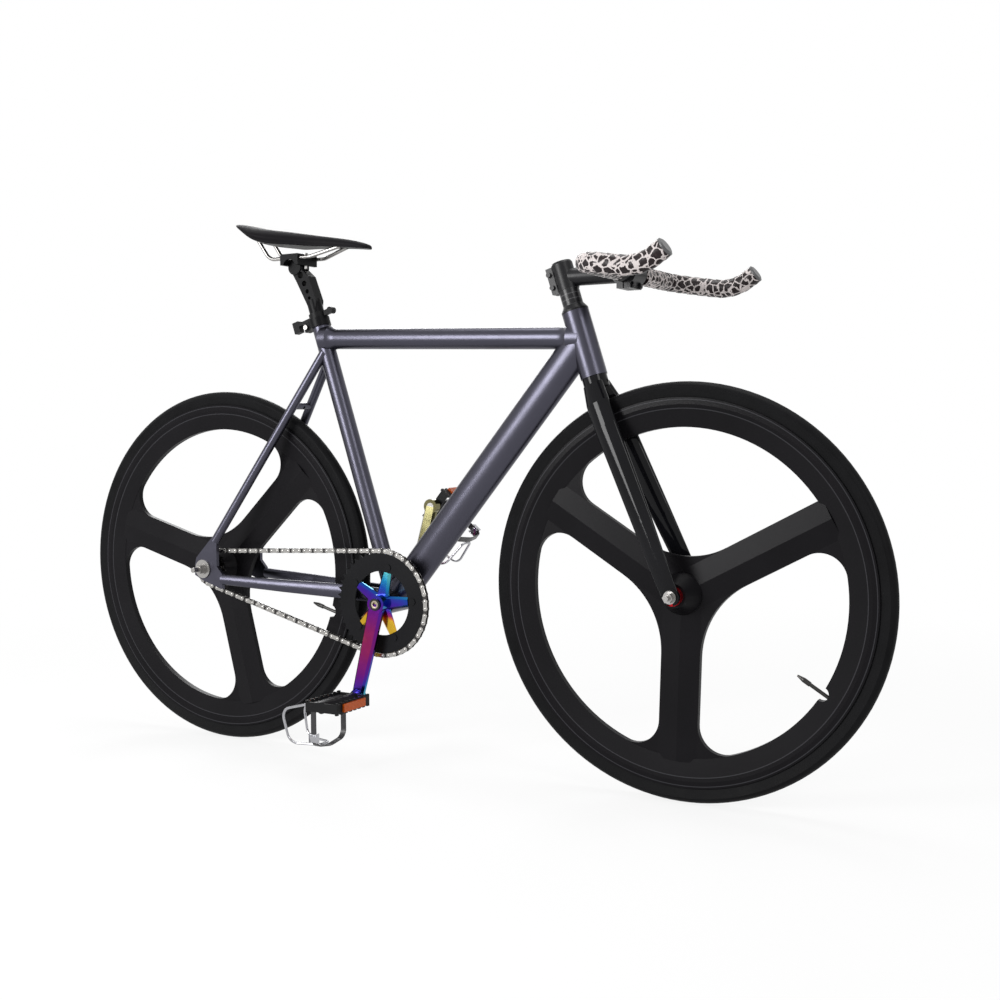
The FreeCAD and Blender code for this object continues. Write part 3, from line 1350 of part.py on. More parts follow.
# Chain: inner links with rollers and outer links alternate from pin to pin.
pins = [polar(bracket_at, ring_pitch_radius, ring_first + ring_step * index)
        for index in range(ring_wrap + 1)]
cog_pins = [polar(rear_axle_at, cog_pitch_radius, cog_first + cog_step * index)
            for index in range(cog_wrap + 1)]
pins += [pins[-1] + (cog_pins[0] - pins[-1]) * (index / run_links) for index in range(1, run_links)]
pins += cog_pins
pins += [cog_pins[-1] + (pins[0] - cog_pins[-1]) * (index / run_links) for index in range(1, run_links)]


def link_plate(low, high):
    """Link plate with eight corners, between two distances from the chain's middle."""
    corners = []
    for side in (1, -1):
        for turn in (-3, -1, 1, 3):
            angle = math.pi / 8 * turn + (0 if side > 0 else math.pi)
            corners.append(polar(Vector(side * pitch / 2, low, 0), s.link_plate_radius, angle))
    return Part.Face(Part.makePolygon(corners + corners[:1])).extrude(LEFT * (high - low))


def roller(side):
    """Six-sided roller at one end of an inner link."""
    half = s.chain_inner_width / 2
    corners = [polar(Vector(side * pitch / 2, -half, 0), s.roller_radius, math.pi / 3 * index)
               for index in range(6)]
    return Part.Face(Part.makePolygon(corners + corners[:1])).extrude(LEFT * s.chain_inner_width)


inner_low = s.chain_inner_width / 2
inner_high = inner_low + s.link_plate_thickness
outer_low = inner_high + s.link_plate_gap
outer_high = outer_low + s.link_plate_thickness
inner_link = link_plate(inner_low, inner_high)
inner_link = inner_link.fuse([link_plate(-inner_high, -inner_low), roller(1), roller(-1)])
outer_link = Part.makeCompound([link_plate(outer_low, outer_high), link_plate(-outer_high, -outer_low)])
links = {0: [], 1: []}
for index, pin in enumerate(pins):
    after = pins[(index + 1) % len(pins)]
    link = (outer_link if index % 2 else inner_link).copy()
    slope = math.degrees(math.atan2(after.z - pin.z, after.x - pin.x))
    middle = (pin + after) * 0.5 + RIGHT * s.chain_line
    link.Placement = FreeCAD.Placement(middle, FreeCAD.Rotation(LEFT, -slope))
    links[index % 2].append(link)
node(feature("InnerLinks", Part.makeCompound(links[0])), "chain_inner_links")
node(feature("OuterLinks", Part.makeCompound(links[1])), "chain_outer_links")

# Bottom bracket: two flanged bearing cups in the shell, with the spindle turning in them.
spindle_radius = s.spindle_diameter / 2
shell_half = s.bracket_shell_width / 2
cup_flange = s.crank_boss_start - shell_half - s.running_gap
cups = [turned("BracketCup%d" % index, [
    (spindle_radius + s.shaft_fit, -s.bearing_height * 2),
    (s.bracket_bore_diameter / 2, -s.bearing_height * 2),
    (s.bracket_bore_diameter / 2, 0),
    (bracket_shell_radius, 0),
    (bracket_shell_radius, cup_flange),
    (spindle_radius + s.shaft_fit, cup_flange),
], bracket_at + way * shell_half, way) for index, way in enumerate((RIGHT, LEFT))]
node(compound("BracketCups", cups), "bottom_bracket")
crank_outer = s.crank_gap + s.crank_thickness
spindle_half = crank_outer - s.crank_bolt_depth
node(cylinder("Spindle", spindle_radius, 2 * spindle_half, bracket_at - LEFT * spindle_half, LEFT),
     "crank_spindle")


# Cranks: a boss on the spindle, an arm that leans outward and an eye for the pedal axle.
def facet(centre, out, half_width, low, high, side):
    """Bevelled rectangle square to an arm's run, between two distances from the middle plane."""
    across = LEFT.cross(out)
    edge = s.crank_edge
    places = [
        (half_width - edge, low),
        (half_width, low + edge),
        (half_width, high - edge),
        (half_width - edge, high),
    ]
    places += [(-wide, deep) for wide, deep in places[::-1]]
    corners = [centre + across * wide + LEFT * (side * deep) for wide, deep in places]
    return Part.makePolygon(corners + corners[:1])


def crank(name, side, angle):
    """Skin of one crank and the places of its eye."""
    way = LEFT * side
    out = polar(Vector(0, 0, 0), 1, angle)
    eye_at = bracket_at + out * s.crank_length
    eye_low = s.crank_gap + s.crank_flare
    arm = Part.makeLoft([
        facet(bracket_at, out, s.crank_root_width / 2, s.crank_gap, crank_outer, side),
        facet(eye_at, out, s.crank_eye_radius - s.crank_edge / 2, eye_low, eye_low + s.crank_thickness,
              side),
    ], True, True)
    boss_length = crank_outer - s.crank_boss_start
    pieces = [
        feature(name + "Arm", arm),
        cylinder(name + "Boss", s.crank_boss_radius, boss_length, bracket_at + way * s.crank_boss_start, way),
        cylinder(name + "Eye", s.crank_eye_radius, s.crank_thickness, eye_at + way * eye_low, way),
    ]
    tools = [
        cylinder(name + "SpindleBore", spindle_radius, spindle_half - s.crank_boss_start,
                 bracket_at + way * s.crank_boss_start, way),
        cylinder(name + "BoltBore", s.crank_bolt_radius, s.crank_bolt_depth,
                 bracket_at + way * spindle_half, way),
        cylinder(name + "EyeBore", s.pedal_stub_radius, s.crank_thickness, eye_at + way * eye_low, way),
    ]
    return pieces, tools, eye_at


right_angle = -math.pi / 2 - math.radians(s.crank_angle)
left_angle = right_angle + math.pi
pieces, tools, left_eye_at = crank("LeftCrank", 1, left_angle)
node(cut("LeftCrankCut", fused("LeftCrankSkin", pieces), tools), "left_crank")

# Five spider arms reach behind the chainring and hold it with bolts.
pieces, tools, right_eye_at = crank("RightCrank", -1, right_angle)
tab_outer = cog_face
tab_inner = tab_outer - s.spider_tab_thickness
ring_holes = []
ring_bolts = []
ring_bolt_length = s.tooth_thickness + s.spider_tab_thickness
spider_depth_share = 2.2
spider_tip_outer = tab_inner + spider_depth_share * s.crank_edge
for index in range(int(s.spider_arms)):
    angle = left_angle + 2 * math.pi / s.spider_arms * index
    out = polar(Vector(0, 0, 0), 1, angle)
    tab_at = bracket_at + out * s.bolt_circle_radius
    arm_low = max(tab_inner, s.crank_boss_start)
    pieces.append(feature("SpiderArm%d" % index, Part.makeLoft([
        facet(bracket_at + out * spindle_radius, out, s.spider_root_width / 2, arm_low, s.crank_gap, -1),
        facet(tab_at, out, s.spider_tip_width / 2, tab_inner, spider_tip_outer, -1),
    ], True, True)))
    pieces.append(cylinder("SpiderTab%d" % index, s.spider_tip_width / 2, s.spider_tab_thickness,
                           tab_at + RIGHT * tab_inner, RIGHT))
    tools.append(cylinder("TabHole%d" % index, s.ring_bolt_radius, s.spider_tab_thickness + s.crank_edge,
                          tab_at + RIGHT * tab_inner, RIGHT))
    ring_holes.append(cylinder("RingHole%d" % index, s.ring_bolt_radius, s.tooth_thickness,
                               tab_at + RIGHT * tab_outer, RIGHT))
    ring_bolts.append(turned("RingBolt%d" % index, [
        (0, -s.ring_bolt_head),
        (s.ring_bolt_head_radius, -s.ring_bolt_head),
        (s.ring_bolt_head_radius, 0),
        (s.ring_bolt_radius, 0),
        (s.ring_bolt_radius, ring_bolt_length),
        (s.ring_bolt_head_radius, ring_bolt_length),
        (s.ring_bolt_head_radius, ring_bolt_length + s.ring_bolt_head),
        (0, ring_bolt_length + s.ring_bolt_head),
    ], tab_at + RIGHT * tab_inner, RIGHT))
ring_room = cylinder("RingRoom", ring_pitch_radius, s.tooth_thickness + 2 * overrun,
                     bracket_at + RIGHT * tab_outer, RIGHT)
ring_core = cylinder("RingCore", s.ring_inner_radius - s.running_gap, s.tooth_thickness + 2 * overrun,
                     bracket_at + RIGHT * tab_outer, RIGHT)
tools.append(cut("RingSeat", ring_room, [ring_core]))
node(cut("RightCrankCut", fused("RightCrankSkin", pieces), tools), "right_crank")
ring_teeth_ring = sprocket(bracket_at, ring_teeth, ring_pitch_radius, ring_first, s.ring_inner_radius)
ring_blank = feature("RingBlank", ring_teeth_ring)
node(cut("RingCut", ring_blank, ring_holes), "chainring")
node(compound("RingBolts", ring_bolts), "chainring_bolts")
node(compound("CrankBolts", [turned("CrankBolt%d" % index, [
    (0, 0),
    (s.crank_bolt_radius, 0),
    (s.crank_bolt_radius, s.crank_bolt_depth),
    (s.crank_hex_radius, s.crank_bolt_depth),
    (s.crank_hex_radius, s.crank_bolt_depth / 2),
    (0, s.crank_bolt_depth / 2),
], bracket_at + way * spindle_half, way) for index, way in enumerate((RIGHT, LEFT))]), "crank_bolts")

# Saddle: a padded cover with a crown and drawn-in sides, over a shell that holds two bent rails.
tail_x = clamp_x - s.saddle_tail_behind
saddle_station_shares = (0.0, 0.07, 0.2, 0.4, 0.6, 0.8, 0.95, 1.0)
saddle_width_shares = (0.56, 0.84, 1.0, 0.74, 0.42, 0.29, 0.24, 0.15)
saddle_rise_shares = (1.0, 0.985, 0.81, 0.65, 0.47, 0.32, 0.13, 0.0)
saddle_depth_shares = (0.42, 0.62, 1.0, 0.83, 0.67, 0.53, 0.37, 0.22)
edge_height_share = 0.45
skirt_inset_share = 0.9
side_bulge_share = 0.75
shell_inset_share = 0.8
shell_rise_share = 0.3


def saddle_at(share):
    """Length along the saddle, half width, top and underside at a share of its length."""
    index = next(i for i, station in enumerate(saddle_station_shares[1:]) if share <= station)
    low, high = saddle_station_shares[index], saddle_station_shares[index + 1]
    blend = (share - low) / (high - low)

    def between(shares):
        """Value between two stations."""
        return shares[index] + (shares[index + 1] - shares[index]) * blend

    rise = s.saddle_nose_above + (s.saddle_tail_above - s.saddle_nose_above) * between(saddle_rise_shares)
    top = rail_level + rise
    under = top - s.saddle_skirt * between(saddle_depth_shares)
    return tail_x + s.saddle_length * share, s.saddle_half_width * between(saddle_width_shares), top, under


def cover_section(share):
    """Crown and drawn-in sides over a flat underside."""
    x, half, top, under = saddle_at(share)
    edge = under + (top - under) * edge_height_share
    foot = half * skirt_inset_share
    side = foot + (half - foot) * side_bulge_share
    level = under + (edge - under) / 2
    return Part.Wire([
        Part.Arc(Vector(x, -foot, under), Vector(x, -side, level), Vector(x, -half, edge)).toShape(),
        Part.Arc(Vector(x, -half, edge), Vector(x, 0, top), Vector(x, half, edge)).toShape(),
        Part.Arc(Vector(x, half, edge), Vector(x, side, level), Vector(x, foot, under)).toShape(),
        Part.LineSegment(Vector(x, foot, under), Vector(x, -foot, under)).toShape(),
    ])


def shell_section(share):
    """Flat-sided section of the shell, let into the cover from below."""
    x, half, top, under = saddle_at(share)
    wide = half * shell_inset_share
    low, high = under - s.saddle_shell_drop, under + (top - under) * shell_rise_share
    corners = [
        Vector(x, -wide, low),
        Vector(x, wide, low),
        Vector(x, wide, high),
        Vector(x, -wide, high),
    ]
    return Part.makePolygon(corners + corners[:1])


shell_shares = saddle_station_shares[1:-1]
shell_loft = Part.makeLoft([shell_section(share) for share in shell_shares], True, True)
cover_loft = Part.makeLoft([cover_section(share) for share in saddle_station_shares], True, False)
shell_skin = feature("ShellSkin", shell_loft)
cover_skin = feature("CoverSkin", cover_loft)
node(cut("CoverCut", cover_skin, [shell_skin]), "saddle_cover")
rail_tail_share, rail_nose_share = 0.15, 0.79
rail_bend_shares = (0.25, 0.58)
rails = []
for side in (-1, 1):
    x_tail, _, _, under_tail = saddle_at(rail_tail_share)
    x_nose, _, _, under_nose = saddle_at(rail_nose_share)
    path = bent_path([
        Vector(x_tail, side * s.rail_half_gauge, under_tail + s.saddle_shell_drop),
        Vector(saddle_at(rail_bend_shares[0])[0], side * s.rail_half_gauge, rail_level),
        Vector(saddle_at(rail_bend_shares[1])[0], side * s.rail_half_gauge, rail_level),
        Vector(x_nose, side * s.rail_nose_gauge, under_nose + s.saddle_shell_drop / 2),
    ], [s.rail_bend_radius, s.rail_bend_radius])
    rails.append(feature("Rail", piped(path, float(rail_radius))))
node(compound("Rails", rails), "saddle_rails")
node(cut("ShellCut", shell_skin, rails), "saddle_shell")


# Pedals: a cage on its axle, reflectors, a wire toe clip, and a strap closed by a buckle.
def pedal_axle(name, side, eye_at):
    """Stub in the crank's eye, collar and the shaft that the pedal turns on."""
    way = LEFT * side
    return turned(name, [
        (0, 0),
        (s.pedal_stub_radius, 0),
        (s.pedal_stub_radius, s.crank_thickness),
        (s.pedal_collar_radius, s.crank_thickness),
        (s.pedal_collar_radius, s.crank_thickness + s.pedal_collar_length),
        (s.pedal_axle_radius, s.crank_thickness + s.pedal_collar_length),
        (s.pedal_axle_radius, axle_length),
        (0, axle_length),
    ], eye_at + way * (s.crank_gap + s.crank_flare), way)


axle_length = s.crank_thickness + s.pedal_collar_length + s.pedal_width - s.pedal_plate
node(compound("PedalAxles", [
    pedal_axle("RightPedalAxle", -1, right_eye_at),
    pedal_axle("LeftPedalAxle", 1, left_eye_at),
]), "pedal_axles")
pedal_inner = s.crank_gap + s.crank_flare + s.crank_thickness + s.pedal_collar_length + s.running_gap
half_length = s.pedal_length / 2
half_height = s.pedal_height / 2
half_width = s.pedal_width / 2
clip_bend_shares = (1.0, 1.0, 1.0, 0.4, 0.4, 1.0, 1.0, 1.0)
clip_root_share, clip_knee_share, clip_toe_share = 1.5, 1.2, 0.5
clip_fall_share = 0.8


def serrated(name, base, turn):
    """Side plate of a cage with notched upper and lower edges."""
    count = int(s.pedal_notch_count)
    step = s.pedal_width / (2 * count + 1)
    high, low = half_height, half_height - s.pedal_notch / 2
    upper = []
    for index in range(2 * count + 1):
        level = low if index % 2 else high
        upper += [(step * index - half_width, level), (step * (index + 1) - half_width, level)]
    corners = upper + [(wide, -level) for wide, level in upper[::-1]]
    return plate(name, corners, s.pedal_plate, base, turn)


def rounded_block(half, high, low, bend):
    """Block as deep as the strap is wide, with its four long edges rounded."""
    block = Part.makeBox(s.strap_width, 2 * half, high - low, Vector(0, -half, low))
    long_edges = [edge for edge in block.Edges
                  if abs(edge.Vertexes[0].X - edge.Vertexes[1].X) > s.strap_width / 2]
    return block.makeFillet(bend, long_edges)


def pedal(side, label, eye_at, tilt):
    """One pedal with everything that turns with it."""
    first = len(NODES)
    name = label.title()
    way = LEFT * side
    inner_at = eye_at + way * pedal_inner
    middle = inner_at + way * half_width
    outer_at = inner_at + way * s.pedal_width
    flat = s.pedal_height - s.pedal_notch
    facing = FreeCAD.Rotation(LEFT, UP, FORWARD, "ZXY")
    pieces = [
        serrated(name + "FrontPlate", middle + FORWARD * (half_length - s.pedal_plate), facing),
        serrated(name + "RearPlate", middle - FORWARD * half_length, facing),
        cylinder(name + "Barrel", s.pedal_barrel_radius, s.pedal_width, inner_at, way),
    ]
    for number, start in enumerate((inner_at, outer_at - way * s.pedal_plate)):
        low = start if side > 0 else start + way * s.pedal_plate
        pieces.append(box(name + "End%d" % number, s.pedal_length, s.pedal_plate, flat,
                          low - FORWARD * half_length - UP * (flat / 2)))
    bore = cylinder(name + "Bore", s.pedal_axle_radius + s.shaft_fit, s.pedal_width - s.pedal_plate / 2,
                    inner_at, way)
    node(cut(name + "Cut", fused(name + "Skin", pieces), [bore]), label + "_pedal")

    lens = [box(name + "Lens%d" % number, s.reflector_thickness, s.reflector_length, s.reflector_height,
                middle + Vector(x, -s.reflector_length / 2, -s.reflector_height / 2))
            for number, x in enumerate((half_length, -half_length - s.reflector_thickness))]
    node(compound(name + "Lenses", lens), label + "_pedal_reflectors")

    wire = s.clip_wire_radius
    root_x = -half_length
    side_points = [
        Vector(root_x, s.clip_half_width * clip_root_share, 0),
        Vector(root_x - s.clip_bend / 2, s.clip_half_width * clip_root_share, 0),
        Vector(root_x - s.clip_reach, s.clip_half_width * clip_knee_share, -s.clip_drop / 5),
        Vector(root_x - s.clip_reach * clip_fall_share, s.clip_half_width, -s.clip_drop),
        Vector(-s.strap_offset - s.strap_width / 2 - 2 * wire, s.clip_half_width * clip_toe_share,
               -s.clip_drop),
    ]
    far_points = [Vector(point.x, -point.y, point.z) for point in side_points[::-1]]
    path = bent_path([middle + point for point in side_points + far_points],
                     [s.clip_bend * share for share in clip_bend_shares])
    node(feature(name + "Clip", piped(path, float(wire))), label + "_toe_clip")

    strand = half_width - s.pedal_plate - s.running_gap
    upper = half_height - s.pedal_notch
    loop = rounded_block(strand, upper, -s.strap_depth, s.strap_bend)
    room = rounded_block(strand - s.strap_thickness, upper - s.strap_thickness,
                         s.strap_thickness - s.strap_depth, s.strap_bend - s.strap_thickness)
    strap = loop.cut(room)
    strap.translate(middle - FORWARD * (s.strap_offset + s.strap_width / 2))
    node(feature(name + "Strap", strap), label + "_toe_strap")
    strap_way = feature(name + "StrapWay", strap)

    wall = s.buckle_wall
    buckle_y = strand + wall if side > 0 else -strand + s.strap_thickness + wall
    buckle_low = Vector(-s.strap_offset - s.strap_width / 2 - wall, buckle_y - s.strap_thickness - 2 * wall,
                        -s.strap_depth + s.strap_bend)
    buckle = box(name + "BuckleBlock", s.strap_width + 2 * wall, s.strap_thickness + 2 * wall,
                 s.buckle_height, middle + buckle_low)
    node(cut(name + "BuckleCut", buckle, [strap_way]), label + "_strap_buckle")
    tilted = FreeCAD.Placement(Vector(0, 0, 0), FreeCAD.Rotation(LEFT, float(tilt)), eye_at)
    for thing in NODES[first:]:
        thing.Placement = tilted * thing.Placement


pedal(-1, "right", right_eye_at, s.right_pedal_tilt)
pedal(1, "left", left_eye_at, s.left_pedal_tilt)

doc.recompute()
os.makedirs("parts", exist_ok=True)
for thing in doc.Objects:
    if "Invalid" in thing.State or "Error" in thing.State:
        raise RuntimeError("%s did not compute" % thing.Label)
for thing in NODES:
    if thing.Shape.isNull() or not thing.Shape.isValid():
        raise RuntimeError("%s is not a valid shape" % thing.Label)
for thing in NODES:
    thing.Shape.exportStep("parts/%s.step" % thing.Label)
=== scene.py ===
"""Finishes and soft pieces of a fixed gear bicycle, laid out as an add-on and run as a script."""

import math

import bmesh
import bpy
from bpy.props import FloatProperty, FloatVectorProperty, IntProperty, PointerProperty
from mathutils import Matrix, Vector


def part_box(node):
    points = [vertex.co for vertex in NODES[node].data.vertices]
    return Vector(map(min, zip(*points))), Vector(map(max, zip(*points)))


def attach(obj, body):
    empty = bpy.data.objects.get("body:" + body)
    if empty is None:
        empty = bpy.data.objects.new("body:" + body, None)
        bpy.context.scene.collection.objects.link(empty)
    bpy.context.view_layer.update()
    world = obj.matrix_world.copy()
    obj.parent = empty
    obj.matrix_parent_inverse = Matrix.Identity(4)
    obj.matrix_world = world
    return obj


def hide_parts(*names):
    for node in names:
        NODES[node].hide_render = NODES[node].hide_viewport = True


bl_info = {
    "name": "Fixed gear bicycle",
    "version": (1, 0, 0),
    "blender": (4, 5, 0),
    "location": "View3D > Sidebar > Bicycle",
    "description": "Dresses the packed model of a fixed gear bicycle with its finishes and soft pieces",
    "category": "Object",
}

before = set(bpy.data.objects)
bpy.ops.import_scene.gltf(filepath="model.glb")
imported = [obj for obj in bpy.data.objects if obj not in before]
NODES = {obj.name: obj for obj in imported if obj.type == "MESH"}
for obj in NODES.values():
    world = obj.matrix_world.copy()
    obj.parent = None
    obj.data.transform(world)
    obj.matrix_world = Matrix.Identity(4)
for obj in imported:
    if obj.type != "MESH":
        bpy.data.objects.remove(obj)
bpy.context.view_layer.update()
MM = 0.001
FULL_TURN = 2.0 * math.pi
CLOUD_LOW, CLOUD_HIGH = 0.3, 0.7
ACROSS = Vector((1.0, 0.0, 0.0))


def colour(name, description, default):
    """Colour property of a finish."""
    return FloatVectorProperty(name=name, description=description, default=default, size=3,
                               subtype="COLOR", min=0.0, max=1.0)


def length(name, description, default):
    """Length property in metres."""
    return FloatProperty(name=name, description=description, default=default,
                         subtype="DISTANCE", unit="LENGTH")


def angle(name, description, degrees):
    """Angle property, given in degrees."""
    return FloatProperty(name=name, description=description, default=math.radians(degrees),
                         subtype="ANGLE", unit="ROTATION")


class BicycleColours(bpy.types.PropertyGroup):
    """Colours of the painted, moulded and plated pieces."""

    paint: colour("Frame paint", "Satin metallic paint of the frame", (0.055, 0.054, 0.071))
    lacquer: colour("Fork lacquer", "Gloss black of the fork", (0.004, 0.004, 0.005))
    composite: colour("Wheel composite", "Matt black of the moulded wheels", (0.0058, 0.0054, 0.0064))
    rubber: colour("Tyre rubber", "Black of the slick tyres", (0.0036, 0.0036, 0.0040))
    anodised: colour("Black anodising", "Black of stem, post, collar and chainring", (0.006, 0.006, 0.007))
    red: colour("Red anodising", "Ring beside the front hub", (0.45, 0.008, 0.015))
    steel: colour("Bright steel", "Axles, nuts, rails and bolts", (0.36, 0.35, 0.34))
    chrome: colour("Chrome", "Toe clips and buckles", (0.40, 0.40, 0.42))
    tape_ground: colour("Tape ground", "Pale ground of the bar tape", (0.56, 0.51, 0.50))
    tape_spot: colour("Tape spots", "Dark spots of the bar tape", (0.010, 0.0055, 0.006))
    plug: colour("Bar plugs", "Grey caps in the bar ends", (0.07, 0.07, 0.072))
    leather: colour("Saddle leather", "Black of saddle and straps", (0.006, 0.0055, 0.0065))
    plastic: colour("Black plastic", "Pedal cages and saddle shell", (0.008, 0.008, 0.0085))
    amber: colour("Reflector amber", "Lenses on the pedals", (0.52, 0.085, 0.004))


class BicycleSizes(bpy.types.PropertyGroup):
    """Sizes of the soft pieces."""

    tape_pitch: length("Tape pitch", "Advance of the bar tape in one turn", 0.019)
    tape_step: length("Tape step", "Height of each turn's free edge over the turn under it", 0.0011)
    strap_thickness: length("Strap thickness", "Thickness of the toe straps", 0.0018)
    smooth_levels: IntProperty(name="Smoothing", description="Subdivision of the saddle cover",
                               default=2, min=0, max=3)


class BicycleStage(bpy.types.PropertyGroup):
    """Camera, surroundings and floor."""

    eye: FloatVectorProperty(name="Camera", description="Place of the camera",
                             default=(1.2316, -1.9413, 0.6093), size=3,
                             subtype="TRANSLATION", unit="LENGTH")
    yaw: angle("Yaw", "Turn of the view to the left of +Y", 29.39)
    pitch: angle("Pitch", "Fall of the view below the horizon", 3.40)
    roll: angle("Roll", "Lean of the picture", -0.43)
    lens: FloatProperty(name="Lens", description="Focal length for a 36 mm wide picture, in mm",
                        default=47.02)
    daylight: FloatProperty(name="World light", description="Strength of the even light from all round",
                            default=0.26)
    floor_shade: FloatProperty(name="Floor shade", description="Grey value of the pale floor",
                               default=0.86)


class Graph:
    """Short calls for the nodes of one shader tree."""

    def __init__(self, tree):
        self.nodes, self.links = tree.nodes, tree.links

    def add(self, kind, **settings):
        """New node with its settings."""
        node = self.nodes.new(kind)
        for key, value in settings.items():
            setattr(node, key, value)
        return node

    def put(self, socket, value):
        """Link an output to a socket, or set the socket's own value."""
        if isinstance(value, bpy.types.NodeSocket):
            self.links.new(value, socket)
        else:
            socket.default_value = value

    def reckon(self, operation, first, second=0.0):
        """One step of arithmetic on one or two values."""
        node = self.add("ShaderNodeMath", operation=operation)
        self.put(node.inputs[0], first)
        self.put(node.inputs[1], second)
        return node.outputs[0]

    def span(self, value, low, high, to_low, to_high, smooth=False):
        """Value moved from one range to another and held inside it."""
        kind = "SMOOTHSTEP" if smooth else "LINEAR"
        node = self.add("ShaderNodeMapRange", interpolation_type=kind)
        for socket, given in zip(node.inputs, (value, low, high, to_low, to_high)):
            self.put(socket, given)
        return node.outputs[0]

    def distance(self, place):
        """Length of a vector."""
        node = self.add("ShaderNodeVectorMath", operation="LENGTH")
        self.put(node.inputs[0], place)
        return node.outputs["Value"]

    def seen(self):
        """Share that is 1 for rays that show the background: straight, mirrored or let through."""
        path = self.add("ShaderNodeLightPath")
        first = self.reckon("MAXIMUM", path.outputs["Is Camera Ray"], path.outputs["Is Glossy Ray"])
        return self.reckon("MAXIMUM", first, path.outputs["Is Transmission Ray"])


class Finish(Graph):
    """One procedural material, with short calls for the patterns that the finishes share."""

    def __init__(self, name):
        self.material = bpy.data.materials.new(name)
        self.material.use_nodes = True
        super().__init__(self.material.node_tree)
        self.shader = self.nodes["Principled BSDF"]
        self.spot = self.add("ShaderNodeTexCoord")
        self.place = self.spot.outputs["Object"]

    def surface(self, **values):
        """Set or link sockets of the shader by their names, with _ for spaces."""
        for key, value in values.items():
            self.put(self.shader.inputs[key.replace("_", " ")], value)
        return self

    def noise(self, scale, detail=2.0):
        """Cloudy values from 0 to 1, with scale in clouds for each metre."""
        node = self.add("ShaderNodeTexNoise")
        self.put(node.inputs["Vector"], self.place)
        self.put(node.inputs["Scale"], scale)
        self.put(node.inputs["Detail"], detail)
        return node.outputs[0]

    def cells(self, scale, feature="F1", place=None, randomness=1.0):
        """Distance in a cell pattern, with scale in cells for each metre."""
        node = self.add("ShaderNodeTexVoronoi", feature=feature)
        self.put(node.inputs["Vector"], place or self.place)
        self.put(node.inputs["Scale"], scale)
        self.put(node.inputs["Randomness"], randomness)
        return node.outputs["Distance"]

    def ramp(self, value, stops):
        """Colour between stops of (position, colour)."""
        node = self.add("ShaderNodeValToRGB")
        elements = node.color_ramp.elements
        while len(elements) < len(stops):
            elements.new(1.0)
        for element, (position, tone) in zip(elements, stops):
            element.position = position
            element.color = tuple(tone) + (1.0,)
        self.put(node.inputs[0], value)
        return node.outputs[0]

    def tinted(self, clouds, tone, first, second, start=CLOUD_LOW, end=CLOUD_HIGH):
        """Colour that wanders with the clouds between two shades of a tone."""
        return self.ramp(clouds, [(start, shade(tone, first)), (end, shade(tone, second))])

    def drift(self, clouds, first, second):
        """Value that wanders with the clouds between two limits."""
        return self.span(clouds, CLOUD_LOW, CLOUD_HIGH, first, second)

    def blend(self, share, first, second):
        """Colour between two colours."""
        node = self.add("ShaderNodeMix", data_type="RGBA")
        self.put(node.inputs[0], share)
        for socket, tone in ((node.inputs[6], first), (node.inputs[7], second)):
            self.put(socket, tone if isinstance(tone, bpy.types.NodeSocket) else tuple(tone) + (1.0,))
        return node.outputs[2]

    def relief(self, height, depth):
        """Bump of a given depth in metres."""
        node = self.add("ShaderNodeBump")
        self.put(node.inputs["Height"], height)
        self.put(node.inputs["Distance"], depth)
        self.put(node.inputs["Strength"], 1.0)
        self.put(self.shader.inputs["Normal"], node.outputs[0])
        return self

    def axes(self, source):
        """The three coordinates of a place."""
        node = self.add("ShaderNodeSeparateXYZ")
        self.put(node.inputs[0], source)
        return node.outputs

    def moved(self, offset):
        """Place moved by a vector."""
        node = self.add("ShaderNodeVectorMath", operation="ADD")
        self.put(node.inputs[0], self.place)
        self.put(node.inputs[1], offset)
        return node.outputs[0]

    def from_axle(self, centre):
        """Distance from an axle that runs across the bicycle through a centre."""
        across = self.axes(self.moved(-centre))
        flat = self.add("ShaderNodeCombineXYZ")
        self.put(flat.inputs[0], across[0])
        self.put(flat.inputs[2], across[2])
        return self.distance(flat.outputs[0])

    def along(self, x, z, way):
        """How far a place in the bicycle's middle plane lies along a direction."""
        return self.reckon("ADD", self.reckon("MULTIPLY", x, way[0]), self.reckon("MULTIPLY", z, way[1]))


def shade(tone, factor):
    """Colour made lighter or darker."""
    return tuple(min(1.0, part * factor) for part in tone)


def colours():
    """Colours that the panel holds."""
    return bpy.context.scene.bicycle_colours


def sizes():
    """Sizes that the panel holds."""
    return bpy.context.scene.bicycle_sizes


def dress(material, *names):
    """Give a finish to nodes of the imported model."""
    for name in names:
        data = NODES[name].data
        data.materials.clear()
        data.materials.append(material)


def mottled(name, tone, rough, spread=0.08, grain=900.0, depth=0.04 * MM, **more):
    """Plain finish with soft variation of tone and roughness, and a fine grain."""
    finish = Finish(name)
    clouds = finish.noise(14.0, 4.0)
    fine = finish.noise(grain)
    base = finish.tinted(clouds, tone, 1.0 - spread, 1.0 + spread)
    finish.surface(Base_Color=base, Roughness=finish.drift(clouds, rough * 0.88, rough * 1.12), **more)
    return finish.relief(fine, depth).material


def plated(name, tone, rough):
    """Bright metal with soft dull patches and a fine grain."""
    finish = Finish(name)
    patches = finish.noise(60.0, 3.0)
    base = finish.tinted(patches, tone, 0.86, 1.06)
    finish.surface(Base_Color=base, Metallic=1.0, Roughness=finish.drift(patches, rough * 1.2, rough * 0.85))
    return finish.relief(finish.noise(1400.0), 0.006 * MM).material


def bands(rings, around, first=0, closed=False):
    """Quads between neighbouring rings of points, also from the last to the first if they close."""
    faces = []
    for ring in range(rings if closed else rings - 1):
        low, high = first + ring * around, first + (ring + 1) % rings * around
        for step in range(around):
            after = (step + 1) % around
            faces.append((low + step, low + after, high + after, high + step))
    return faces


def ends(rings, around, first=0):
    """Faces that close the first and the last ring of points."""
    last = first + (rings - 1) * around
    return [tuple(range(first, first + around)), tuple(range(last, last + around))]


